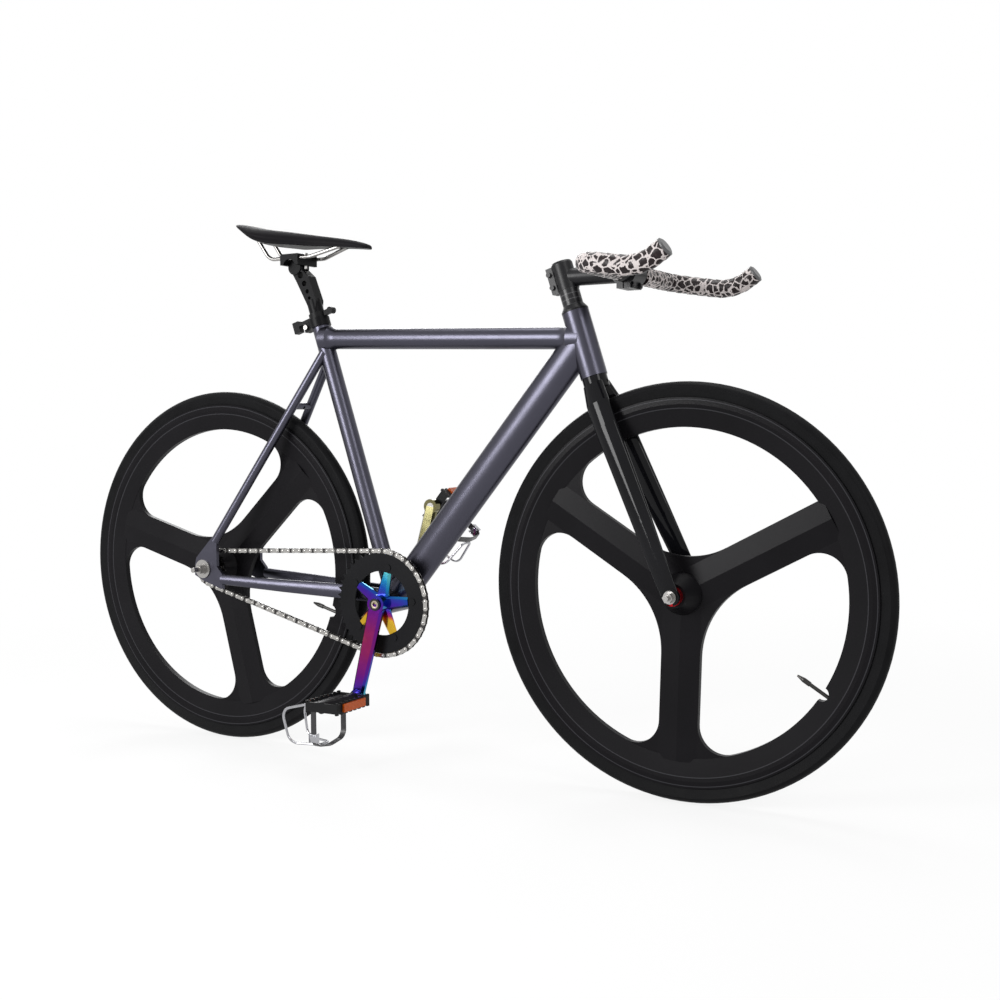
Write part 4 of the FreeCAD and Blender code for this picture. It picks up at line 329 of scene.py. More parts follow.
def piece_of(name, points, faces, material, body, *stands_for):
    """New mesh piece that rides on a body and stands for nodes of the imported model."""
    mesh = bpy.data.meshes.new(name)
    mesh.from_pydata([tuple(point) for point in points], [], faces)
    form = bmesh.new()
    form.from_mesh(mesh)
    bmesh.ops.recalc_face_normals(form, faces=form.faces)
    form.to_mesh(mesh)
    form.free()
    mesh.shade_smooth()
    mesh.materials.append(material)
    thing = bpy.data.objects.new(name, mesh)
    bpy.context.scene.collection.objects.link(thing)
    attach(thing, body)
    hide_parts(*stands_for)
    return thing


def rounded_route(corners, radii, step):
    """Points along straight runs joined by arcs."""
    points = []
    for index, corner in enumerate(corners):
        if index in (0, len(corners) - 1):
            points.append(corner)
            continue
        radius = radii[index - 1]
        back = (corners[index - 1] - corner).normalized()
        ahead = (corners[index + 1] - corner).normalized()
        half = back.angle(ahead) / 2
        reach = radius / math.tan(half)
        middle = corner + (back + ahead).normalized() * (radius / math.sin(half))
        start, end = corner + back * reach - middle, corner + ahead * reach - middle
        turn = start.rotation_difference(end)
        count = max(4, round(radius * turn.angle / step))
        for part in range(count + 1):
            points.append(middle + Matrix.Rotation(turn.angle * part / count, 3, turn.axis) @ start)
    route = [points[0]]
    for point in points[1:]:
        start = route[-1]
        gap = point - start
        count = max(1, round(gap.length / step))
        route += [start + gap * (part / count) for part in range(1, count + 1)]
    return route


class BICYCLE_OT_frame(bpy.types.Operator):
    """Satin metallic paint on the welded frame"""

    bl_idname = "bicycle.frame"
    bl_label = "Frame paint"
    bl_options = {"REGISTER", "UNDO"}

    flake_scale = 3800.0
    flake_depth = 0.01 * MM
    glint_share, glint_factor = 0.16, 1.9
    metal_share = 0.92
    roughness = (0.29, 0.34)

    def execute(self, context):
        tone = colours().paint
        finish = Finish("satin_metallic_paint")
        clouds = finish.noise(5.0, 4.0)
        flakes = finish.cells(self.flake_scale)
        glint = finish.span(flakes, 0.2, 0.8, 0.0, self.glint_share)
        base = finish.blend(glint, finish.tinted(clouds, tone, 0.93, 1.07), shade(tone, self.glint_factor))
        rough = finish.drift(finish.noise(60.0, 3.0), *self.roughness)
        finish.surface(Base_Color=base, Metallic=self.metal_share, Roughness=rough)
        finish.relief(flakes, self.flake_depth)
        dress(finish.material, "frame")
        return {"FINISHED"}


class BICYCLE_OT_fork(bpy.types.Operator):
    """Gloss black lacquer on the bladed fork"""

    bl_idname = "bicycle.fork"
    bl_label = "Fork lacquer"
    bl_options = {"REGISTER", "UNDO"}

    peel_scale = 420.0
    peel_depth = 0.012 * MM
    roughness = (0.06, 0.10)
    sheen = 0.15

    def execute(self, context):
        finish = Finish("gloss_black_lacquer")
        peel = finish.noise(self.peel_scale)
        clouds = finish.noise(9.0, 4.0)
        base = finish.tinted(clouds, colours().lacquer, 0.8, 1.5, 0.35, 0.75)
        rough = finish.span(clouds, 0.3, 0.8, *self.roughness)
        finish.surface(Base_Color=base, Roughness=rough, Specular_IOR_Level=self.sheen)
        finish.relief(peel, self.peel_depth)
        dress(finish.material, "fork")
        return {"FINISHED"}


class BICYCLE_OT_wheels(bpy.types.Operator):
    """Moulded composite wheels with their valves"""

    bl_idname = "bicycle.wheels"
    bl_label = "Wheels"
    bl_options = {"REGISTER", "UNDO"}

    # Painted highlight: radii, tone and strength of two pale lines at the rim edges beside the tyre.
    highlight_line_radii = (293.5 * MM, 307.5 * MM)
    painted_highlight_tone = (0.045, 0.045, 0.050)
    painted_highlight_share = 0.7
    line_core, line_reach = 0.3 * MM, 1.0 * MM
    band_blend = 2.0 * MM
    band_gloss = 0.1
    roughness = (0.30, 0.38)
    sheen = 0.065
    grain_scale = 1500.0
    grain_depth = 0.03 * MM
    valve_factor = 0.12

    def execute(self, context):
        for name in ("front_wheel", "rear_wheel"):
            dress(self.composite(name), name)
        valve = plated("valve_dark_plate", shade(colours().steel, self.valve_factor), rough=0.3)
        dress(valve, "front_valve", "rear_valve")
        return {"FINISHED"}

    def composite(self, name):
        """Matt moulding with a smoother brake band and painted highlights: pale lines at the rim edges
        beside the tyre.
        """
        low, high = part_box(name)
        finish = Finish(name + "_moulded_composite")
        radius = finish.from_axle((low + high) / 2)
        grain = finish.noise(self.grain_scale, 3.0)
        base = finish.tinted(finish.noise(7.0, 5.0), colours().composite, 0.85, 1.2)
        # Painted highlight: a pale line at each radius stands for the light caught by the rim edge there.
        for line in self.highlight_line_radii:
            near = finish.reckon("ABSOLUTE", finish.reckon("SUBTRACT", radius, line))
            painted_highlight = finish.span(near, self.line_core, self.line_reach, self.painted_highlight_share, 0.0, True)
            base = finish.blend(painted_highlight, base, self.painted_highlight_tone)
        inner = self.highlight_line_radii[0]
        band = finish.span(radius, inner, inner + self.band_blend, 0.0, 1.0, True)
        matt = finish.drift(grain, *self.roughness)
        rough = finish.reckon("SUBTRACT", matt, finish.reckon("MULTIPLY", band, self.band_gloss))
        finish.surface(Base_Color=base, Roughness=rough, Specular_IOR_Level=self.sheen)
        return finish.relief(grain, self.grain_depth).material


class BICYCLE_OT_tyres(bpy.types.Operator):
    """Slick rubber tyres"""

    bl_idname = "bicycle.tyres"
    bl_label = "Tyres"
    bl_options = {"REGISTER", "UNDO"}

    rib_pitch = 1.6 * MM
    rib_depth = 0.06 * MM
    wall_end, tread_start = 325.0 * MM, 331.0 * MM
    grain_scale = 1800.0
    roughness = (0.42, 0.58)
    sheen = 0.06

    def execute(self, context):
        for name in ("front_tyre", "rear_tyre"):
            dress(self.rubber(name), name)
        return {"FINISHED"}

    def rubber(self, name):
        """Dusty rubber with fine ribs round the side walls."""
        low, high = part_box(name)
        finish = Finish(name.replace("tyre", "slick_rubber"))
        radius = finish.from_axle((low + high) / 2)
        ribs = finish.reckon("SINE", finish.reckon("MULTIPLY", radius, FULL_TURN / self.rib_pitch))
        wall = finish.span(radius, self.wall_end, self.tread_start, 1.0, 0.0, True)
        dust = finish.noise(30.0, 5.0)
        grain = finish.noise(self.grain_scale)
        height = finish.reckon("ADD", finish.reckon("MULTIPLY", ribs, wall), grain)
        finish.surface(Base_Color=finish.tinted(dust, colours().rubber, 1.0, 1.7, 0.35, 0.75),
                       Roughness=finish.drift(dust, *self.roughness), Specular_IOR_Level=self.sheen)
        return finish.relief(height, self.rib_depth).material


class BICYCLE_OT_metal(bpy.types.Operator):
    """Axles, nuts, bearings, rails, bolts and toe clips"""

    bl_idname = "bicycle.metal"
    bl_label = "Bright metal"
    bl_options = {"REGISTER", "UNDO"}

    def execute(self, context):
        dress(plated("bright_steel", colours().steel, rough=0.26),
              "headset_bearings", "seat_clamp_bolt", "rear_axle", "rear_axle_nuts", "rear_washers",
              "saddle_clamp_bolts", "saddle_rails", "front_axle", "front_axle_nuts", "front_hub_bearings",
              "rear_hub_bearings", "cog_bolts", "crank_spindle", "pedal_axles")
        dress(mottled("red_anodising", colours().red, rough=0.24, Metallic=0.9), "front_locknuts")
        dress(plated("chrome_plate", colours().chrome, rough=0.10), "right_toe_clip", "left_toe_clip")
        return {"FINISHED"}


class BICYCLE_OT_chain(bpy.types.Operator):
    """Chain and sprockets"""

    bl_idname = "bicycle.chain"
    bl_label = "Chain and sprockets"
    bl_options = {"REGISTER", "UNDO"}

    half_pitch = 6.35 * MM
    plate_end = 4.3 * MM
    plate_waist = 3.6 * MM
    plate_half = 0.6 * MM
    plate_bevel = 0.4 * MM
    pin_section = ((1.75 * MM, 0.0), (1.75 * MM, 0.35 * MM), (1.2 * MM, 0.6 * MM))
    end_turns = range(-120, 121, 30)
    pin_steps = 10
    line = -43.0 * MM
    weld = 0.01 * MM
    sharp_edge = math.radians(30)
    inner_tone = (0.045, 0.043, 0.042)
    plate_tone = (0.36, 0.35, 0.335)
    # Painted highlight: lighter steel for the bevelled plate edges.
    edge_highlight_tone = (0.50, 0.49, 0.47)

    def execute(self, context):
        self.plates()
        dress(plated("chain_inner_steel", self.inner_tone, rough=0.36), "chain_inner_links", "rear_cog")
        ring = mottled("chainring_anodising", colours().anodised, rough=0.34, grain=1600.0,
                       Specular_IOR_Level=0.08)
        dress(ring, "chainring", "chainring_bolts")
        return {"FINISHED"}

    def places(self):
        """Middle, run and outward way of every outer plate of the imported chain."""
        form = bmesh.new()
        form.from_mesh(NODES["chain_outer_links"].data)
        bmesh.ops.remove_doubles(form, verts=form.verts, dist=self.weld)
        form.verts.index_update()
        waiting = set(form.verts)
        found = []
        for first in form.verts:
            if first not in waiting:
                continue
            waiting.discard(first)
            plate, edge = [first], [first]
            while edge:
                near = {link.other_vert(vert) for vert in edge for link in vert.link_edges} & waiting
                waiting -= near
                edge = sorted(near, key=lambda vert: vert.index)
                plate += edge
            middle = sum((vert.co for vert in plate), Vector()) / len(plate)
            far = max(plate, key=lambda vert: (vert.co - middle).xz.length).co - middle
            mates = [vert.co - middle for vert in plate if (vert.co - middle).xz.dot(far.xz) > 0]
            mean = sum(mates, Vector()) / len(mates)
            run = Vector((mean.x, 0.0, mean.z)).normalized()
            found.append((middle, run, 1.0 if middle.y > self.line else -1.0))
        form.free()
        return found

    def outline(self):
        """Corners round one plate, each with the heart that its bevel shrinks towards."""
        rim = []
        for side in (1.0, -1.0):
            heart = Vector((side * self.half_pitch, 0.0))
            for turn in map(math.radians, self.end_turns):
                reach = Vector((math.cos(turn), math.sin(turn))) * (side * self.plate_end)
                rim.append((heart + reach, heart))
            rim.append((Vector((0.0, side * self.plate_waist)), Vector((0.0, 0.0))))
        return rim

    def plates(self):
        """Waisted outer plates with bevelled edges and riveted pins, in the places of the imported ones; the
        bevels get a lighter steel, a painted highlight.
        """
        rim = self.outline()
        levels = ((0.0, -self.plate_half), (0.0, self.plate_half - self.plate_bevel),
                  (self.plate_bevel, self.plate_half))
        points, faces, slots = [], [], []

        def closed(rings, around, first, slot):
            """Add the faces of one closed form, with its material slot on the sides."""
            sides = bands(rings, around, first)
            caps = ends(rings, around, first)
            faces.extend(sides + caps)
            slots.extend([slot] * len(sides) + [0] * len(caps))

        for middle, run, out in self.places():
            across = Vector((-run.z, 0.0, run.x))
            away = Vector((0.0, out, 0.0))
            first = len(points)
            for inset, lift in levels:
                for corner, heart in rim:
                    spot = corner - (corner - heart).normalized() * inset
                    points.append(middle + run * spot.x + across * spot.y + away * lift)
            closed(len(levels), len(rim), first, 1)
            for side in (1.0, -1.0):
                pin = middle + run * (side * self.half_pitch) + away * self.plate_half
                first = len(points)
                for radius, lift in self.pin_section:
                    for step in range(self.pin_steps):
                        turn = FULL_TURN * step / self.pin_steps
                        ray = run * math.cos(turn) + across * math.sin(turn)
                        points.append(pin + ray * radius + away * lift)
                closed(len(self.pin_section), self.pin_steps, first, 0)
        # Painted highlight: the bevelled plate edges get a lighter steel than the flat faces.
        flat = plated("chain_plate_steel", self.plate_tone, rough=0.24)
        bright = plated("chain_edge_highlight_steel", self.edge_highlight_tone, rough=0.2)
        chain = piece_of("chain_outer_plates", points, faces, flat, "frame", "chain_outer_links")
        chain.data.materials.append(bright)
        chain.data.polygons.foreach_set("material_index", slots)
        chain.data.set_sharp_from_angle(angle=self.sharp_edge)


class BICYCLE_OT_cranks(bpy.types.Operator):
    """Cranks with a rainbow oxide film, and their bolts"""

    bl_idname = "bicycle.cranks"
    bl_label = "Cranks"
    bl_options = {"REGISTER", "UNDO"}

    film = ((0.0, (0.55, 0.34, 0.03)), (0.14, (0.48, 0.12, 0.03)), (0.26, (0.24, 0.018, 0.090)),
            (0.42, (0.12, 0.011, 0.19)), (0.56, (0.045, 0.020, 0.29)), (0.70, (0.012, 0.06, 0.33)),
            (0.84, (0.015, 0.20, 0.39)), (1.0, (0.08, 0.38, 0.42)))
    dull_gold = (0.15, 0.138, 0.066)
    gold_end = 0.2
    arm_way = (-0.2165, -0.9763)
    arm_heart = 70.0 * MM
    arm_bow = 43.0
    film_middle = (0.25, 0.33)
    edge_rise = 0.28
    hidden_depth = (-62.0 * MM, -52.0 * MM)
    hidden_fall = (-35.0 * MM, -12.0 * MM)
    hidden_drop = 0.6
    inside_share = 0.08
    roughness = (0.12, 0.19)
    dimple_depth = 0.01 * MM
    bolt_section = ((10.8, 60.0, False), (10.8, 66.0, False), (10.2, 66.6, False), (7.6, 66.6, False),
                    (7.0, 66.1, False), (5.4, 66.1, False), (4.0, 65.9, True), (4.0, 62.5, True))
    bolt_steps = 48
    socket_reach = 7.1 * MM
    socket_tone = (0.42, 0.36, 0.27)
    sharp_edge = math.radians(35)

    def execute(self, context):
        low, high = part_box("crank_spindle")
        hub = (low + high) / 2
        for name, sign in (("right_crank", 1.0), ("left_crank", -1.0)):
            dress(self.oxide(name + "_oxide_film", hub, sign), name)
        black = mottled("crank_bolt_black", colours().anodised, rough=0.3, Specular_IOR_Level=0.3)
        bright = plated("crank_socket_steel", self.socket_tone, rough=0.25)
        for name, side in (("right_crank_bolt", -1.0), ("left_crank_bolt", 1.0)):
            self.bolt(name, hub, side, black, bright)
        return {"FINISHED"}

    def bolt(self, name, hub, side, black, bright):
        """Turned bolt head with a hexagon socket, set on the crank's outer face."""
        points = []
        for radius, out, six in self.bolt_section:
            for step in range(self.bolt_steps):
                turn = FULL_TURN * step / self.bolt_steps
                far = radius / math.cos(turn % (math.pi / 3.0) - math.pi / 6.0) if six else radius
                x, z = far * MM * math.cos(turn), far * MM * math.sin(turn)
                points.append(Vector((hub.x + x, side * out * MM, hub.z + z)))
        rings, around = len(self.bolt_section), self.bolt_steps
        faces = bands(rings, around) + ends(rings, around)
        head = piece_of(name, points, faces, black, "crankset", "crank_bolts")
        head.data.materials.append(bright)
        inner = [(vert.co - hub).xz.length < self.socket_reach for vert in head.data.vertices]
        for face in head.data.polygons:
            face.material_index = 1 if all(inner[index] for index in face.vertices) else 0
        head.data.set_sharp_from_angle(angle=self.sharp_edge)

    def oxide(self, name, hub, sign):
        """Film from magenta on the arm to blue at its ends and edges, and gold on the hidden faces."""
        finish = Finish(name)
        x, y, z = finish.axes(finish.moved(-hub))
        side = finish.axes(finish.spot.outputs["Normal"])[1]
        along = finish.along(x, z, [sign * part for part in self.arm_way])
        away = finish.reckon("SUBTRACT", along, self.arm_heart)
        value = finish.reckon("MULTIPLY", finish.reckon("MULTIPLY", away, away), self.arm_bow)
        steep = finish.reckon("ABSOLUTE", side)
        for more in (finish.reckon("MULTIPLY", x, sign),
                     finish.span(finish.noise(28.0), 0.2, 0.8, *self.film_middle),
                     finish.span(steep, 0.2, 0.95, self.edge_rise, 0.0)):
            value = finish.reckon("ADD", value, more)
        film = self.film
        if sign > 0:
            under = finish.reckon("MULTIPLY", finish.span(y, *self.hidden_depth, 0.0, 1.0),
                                  finish.span(z, *self.hidden_fall, self.hidden_drop, 0.0))
            value = finish.reckon("SUBTRACT", value, under)
        else:
            value = finish.reckon("MULTIPLY", value, finish.span(side, 0.0, 0.7, self.inside_share, 1.0))
            film = ((0.0, self.dull_gold), (self.gold_end, self.dull_gold)) + film[2:]
        rough = finish.drift(finish.noise(90.0, 3.0), *self.roughness)
        finish.surface(Base_Color=finish.ramp(value, film), Metallic=1.0, Roughness=rough)
        return finish.relief(finish.noise(300.0), self.dimple_depth).material


class BICYCLE_OT_fittings(bpy.types.Operator):
    """Black fittings, grey bar plugs and amber lenses"""

    bl_idname = "bicycle.fittings"
    bl_label = "Black fittings"
    bl_options = {"REGISTER", "UNDO"}

    stack_foot = (279.34, 0.0, 799.76)
    stack_way = (-0.3024, 0.9532)
    spacer_height = 9.0 * MM
    # Painted highlight on the spacers' chamfered rims: its width, strength and tone.
    rim_core, rim_reach = 0.25 * MM, 0.8 * MM
    painted_highlight_share = 0.75
    painted_highlight_tone = (0.10, 0.10, 0.105)
    prism_scale = 420.0
    prism_depth = 0.4 * MM

    def execute(self, context):
        tone = colours().anodised
        black = mottled("matt_black_anodising", tone, rough=0.36, spread=0.15, grain=1800.0,
                        Specular_IOR_Level=0.22)
        dress(self.rings(), "headset_spacers")
        dress(black, "stem", "stem_faceplate", "stem_top_cap", "headset_cover", "handlebar",
              "bottom_bracket", "rear_locknuts", "stem_bolts", "faceplate_bolts")
        dull = mottled("dull_black_anodising", shade(tone, 0.7), rough=0.4, spread=0.15, grain=1800.0,
                       Specular_IOR_Level=0.08)
        dress(dull, "seatpost", "saddle_cradle", "saddle_rail_cap", "seat_clamp")
        plastic = mottled("matt_black_plastic", colours().plastic, rough=0.45, spread=0.12, grain=1100.0,
                          depth=0.08 * MM, Specular_IOR_Level=0.1)
        dress(plastic, "reflector_bracket", "saddle_shell", "right_pedal", "left_pedal")
        dress(mottled("bar_plug_grey", colours().plug, rough=0.38, spread=0.06), "bar_end_plugs")
        dress(self.lenses(), "right_pedal_reflectors", "left_pedal_reflectors")
        return {"FINISHED"}

    def rings(self):
        """Black spacers with a painted highlight, pale lines, on their chamfered rims."""
        finish = Finish("spacer_anodising")
        spot = finish.axes(finish.moved(-Vector(self.stack_foot) * MM))
        height = finish.along(spot[0], spot[2], self.stack_way)
        near = finish.reckon("PINGPONG", height, self.spacer_height / 2.0)
        # Painted highlight: a pale line where each spacer's chamfered rim meets the next.
        painted_highlight = finish.span(near, self.rim_core, self.rim_reach, self.painted_highlight_share, 0.0, True)
        base = finish.tinted(finish.noise(40.0), colours().anodised, 0.8, 1.3)
        finish.surface(Base_Color=finish.blend(painted_highlight, base, self.painted_highlight_tone), Roughness=0.3,
                       Specular_IOR_Level=0.3)
        return finish.material

    def lenses(self):
        """Amber lens with rows of small prisms behind a clear face."""
        finish = Finish("amber_lens")
        prisms = finish.cells(self.prism_scale, randomness=0.0)
        base = finish.tinted(prisms, colours().amber, 1.25, 0.45, 0.1, 0.8)
        finish.surface(Base_Color=base, Roughness=0.24, Specular_IOR_Level=0.2)
        return finish.relief(prisms, self.prism_depth).material


class BICYCLE_OT_tape(bpy.types.Operator):
    """Spotted tape wound round the two arms of the bar"""

    bl_idname = "bicycle.tape"
    bl_label = "Bar tape"
    bl_options = {"REGISTER", "UNDO"}

    start = 46.2 * MM
    corners = ((378.54, 200.0, 846.465), (484.441, 200.0, 829.692), (520.665, 200.0, 855.056))
    bends = (49.0 * MM, 76.0 * MM)
    route_step = 2.0 * MM
    bar_radius = 12.0 * MM
    tape_radius = 14.9 * MM
    around = 28
    section = ((0.0, None), (0.0, 0.72), (0.025, 1.0), (0.25, 0.86), (0.55, 0.52), (0.85, 0.2),
               (1.0, 0.08), (1.0, None))
    middle_lift = 0.4
    sharp_edge = math.radians(50)
    spot_scale = 82.0
    spot_edge = (0.058, 0.10)
    heart_edge = (0.10, 0.2)
    heart_share = 0.35
    heart_tone = (0.05, 0.028, 0.025)
    wander = 1.6 * MM
    weave_scale = 2600.0
    weave_depth = 0.1 * MM
    roughness = (0.5, 0.36)
    sheen = 0.25

    def execute(self, context):
        material = self.spots()
        for name, side in (("right_bar_tape", -1.0), ("left_bar_tape", 1.0)):
            knees = [Vector((x, side * y, z)) * MM for x, y, z in self.corners]
            first = Vector((knees[0].x, side * self.start, knees[0].z))
            points, faces = self.winding(rounded_route([first] + knees, self.bends, self.route_step))
            thing = piece_of(name, points, faces, material, "fork", "bar_tape")
            thing.data.set_sharp_from_angle(angle=self.sharp_edge)
        return {"FINISHED"}

    def winding(self, route):
        """Strip wound along a route: each turn's free edge lies on the turn before."""
        pitch, step = sizes().tape_pitch, sizes().tape_step
        lengths = [0.0]
        for before, after in zip(route, route[1:]):
            lengths.append(lengths[-1] + (after - before).length)
        total = lengths[-1]
        ways = [(after - before).normalized() for before, after in zip(route, route[1:])]
        ways.append(ways[-1])
        sides = [ways[0].cross(Vector((0, 0, 1))).normalized()]
        for way in ways[1:]:
            sides.append((sides[-1] - way * sides[-1].dot(way)).normalized())
        rows = int(math.ceil((total / pitch + 1.0) * self.around))
        points = []
        for row in range(rows + 1):
            turn = FULL_TURN * row / self.around
            for across, lift in self.section:
                along = min(max((row / self.around - 1.0 + across) * pitch, 0.0), total)
                index = 0
                while index < len(lengths) - 2 and lengths[index + 1] < along:
                    index += 1
                part = (along - lengths[index]) / (lengths[index + 1] - lengths[index])
                centre = route[index].lerp(route[index + 1], part)
                way = ways[index].lerp(ways[index + 1], part).normalized()
                side = sides[index].lerp(sides[index + 1], part).normalized()
                radius = self.bar_radius
                if lift is not None:
                    radius = self.tape_radius + step * (lift - self.middle_lift)
                points.append(centre + (side * math.cos(turn) + way.cross(side) * math.sin(turn)) * radius)
        wide = len(self.section)
        return points, bands(rows + 1, wide) + ends(rows + 1, wide)

    def spots(self):
        """Dark irregular spots on a pale woven ground."""
        finish = Finish("spotted_bar_tape")
        wander = finish.noise(110.0)
        bend = finish.add("ShaderNodeCombineXYZ")
        for socket in bend.inputs:
            finish.put(socket, finish.drift(wander, -self.wander, self.wander))
        place = finish.moved(bend.outputs[0])
        gap = finish.cells(self.spot_scale, "DISTANCE_TO_EDGE", place)
        spot = finish.span(gap, *self.spot_edge, 0.0, 1.0, True)
        core = finish.cells(self.spot_scale, "F1", place)
        heart = finish.span(core, *self.heart_edge, self.heart_share, 0.0, True)
        few = finish.span(finish.noise(45.0, 1.0), 0.5, 0.6, 0.0, 1.0)
        weave = finish.noise(self.weave_scale)
        ground = finish.tinted(weave, colours().tape_ground, 0.86, 1.1)
        dark = finish.blend(finish.reckon("MULTIPLY", heart, few), colours().tape_spot, self.heart_tone)
        finish.surface(Base_Color=finish.blend(spot, ground, dark), Specular_IOR_Level=self.sheen,
                       Roughness=finish.span(spot, 0.0, 1.0, *self.roughness))
        return finish.relief(weave, self.weave_depth).material


class BICYCLE_OT_saddle(bpy.types.Operator):
    """Crowned saddle cover over foam"""

    bl_idname = "bicycle.saddle"
    bl_label = "Saddle cover"
    bl_options = {"REGISTER", "UNDO"}

    stations = ((-406.0, 30.0, 984.0, 978.5), (-394.0, 48.0, 982.0, 969.0), (-377.0, 58.5, 978.5, 957.0),
                (-356.0, 65.0, 973.0, 944.0), (-341.0, 66.0, 970.0, 938.6), (-314.0, 59.0, 965.5, 937.0),
                (-286.0, 48.0, 961.0, 935.4), (-258.0, 36.5, 956.0, 933.0), (-231.0, 27.5, 951.0, 930.4),
                (-204.0, 22.0, 946.6, 928.2), (-177.0, 19.0, 942.0, 926.0), (-154.0, 17.3, 937.2, 923.5),
                (-136.0, 15.8, 932.0, 921.2), (-128.5, 12.5, 928.8, 920.6), (-125.0, 7.0, 926.2, 921.2))
    half_section = ((0.0, 1.0, 0.0), (0.34, 0.985, 0.0), (0.60, 0.935, 0.0), (0.80, 0.83, 0.0),
                    (0.93, 0.67, 0.04), (1.0, 0.46, 0.14), (0.99, 0.28, 0.26), (0.955, 0.15, 0.34),
                    (0.965, 0.09, 0.38), (0.94, 0.01, 0.42), (0.86, 0.0, 0.38), (0.45, 0.02, 0.06),
                    (0.0, 0.03, 0.0))
    wedge = (-318.0, -372.0)
    shell_columns = 3
    foam_fill = 0.9
    pore_scale = 1300.0
    pore_depth = 0.06 * MM
    roughness = (0.46, 0.58)
    sheen = 0.05

    def execute(self, context):
        ring = list(self.half_section)
        ring += [(-wide, high, lift) for wide, high, lift in self.half_section[-2:0:-1]]
        points = []
        for x, half, top, under in self.stations:
            tail = min(max((x - self.wedge[0]) / (self.wedge[1] - self.wedge[0]), 0.0), 1.0)
            for wide, high, lift in ring:
                points.append(Vector((x, half * wide, under + (top - under) * (high + lift * tail))) * MM)
        rows, wide = len(self.stations), len(ring)
        faces = bands(rows, wide) + ends(rows, wide)
        cover = piece_of("saddle_cover_padded", points, faces, self.leather(), "seatpost",
                         "saddle_cover", "saddle_shell")
        cover.data.materials.append(NODES["saddle_shell"].data.materials[0])
        bottom = len(self.half_section) - 1
        for face in cover.data.polygons:
            below = all(abs(index % wide - bottom) <= self.shell_columns for index in face.vertices)
            face.material_index = 1 if below else 0
        smooth = cover.modifiers.new("smooth", "SUBSURF")
        smooth.levels = smooth.render_levels = sizes().smooth_levels
        return {"FINISHED"}

    def leather(self):
        """Smooth black cover with a fine pore and a satin rub."""
        finish = Finish("saddle_leather")
        pores = finish.cells(self.pore_scale)
        folds = finish.noise(500.0, 3.0)
        clouds = finish.noise(16.0, 4.0)
        finish.surface(Base_Color=finish.tinted(clouds, colours().leather, 0.8, 1.4, end=0.75),
                       Roughness=finish.drift(clouds, *self.roughness), Specular_IOR_Level=self.sheen)
        return finish.relief(finish.reckon("ADD", pores, folds), self.pore_depth).material


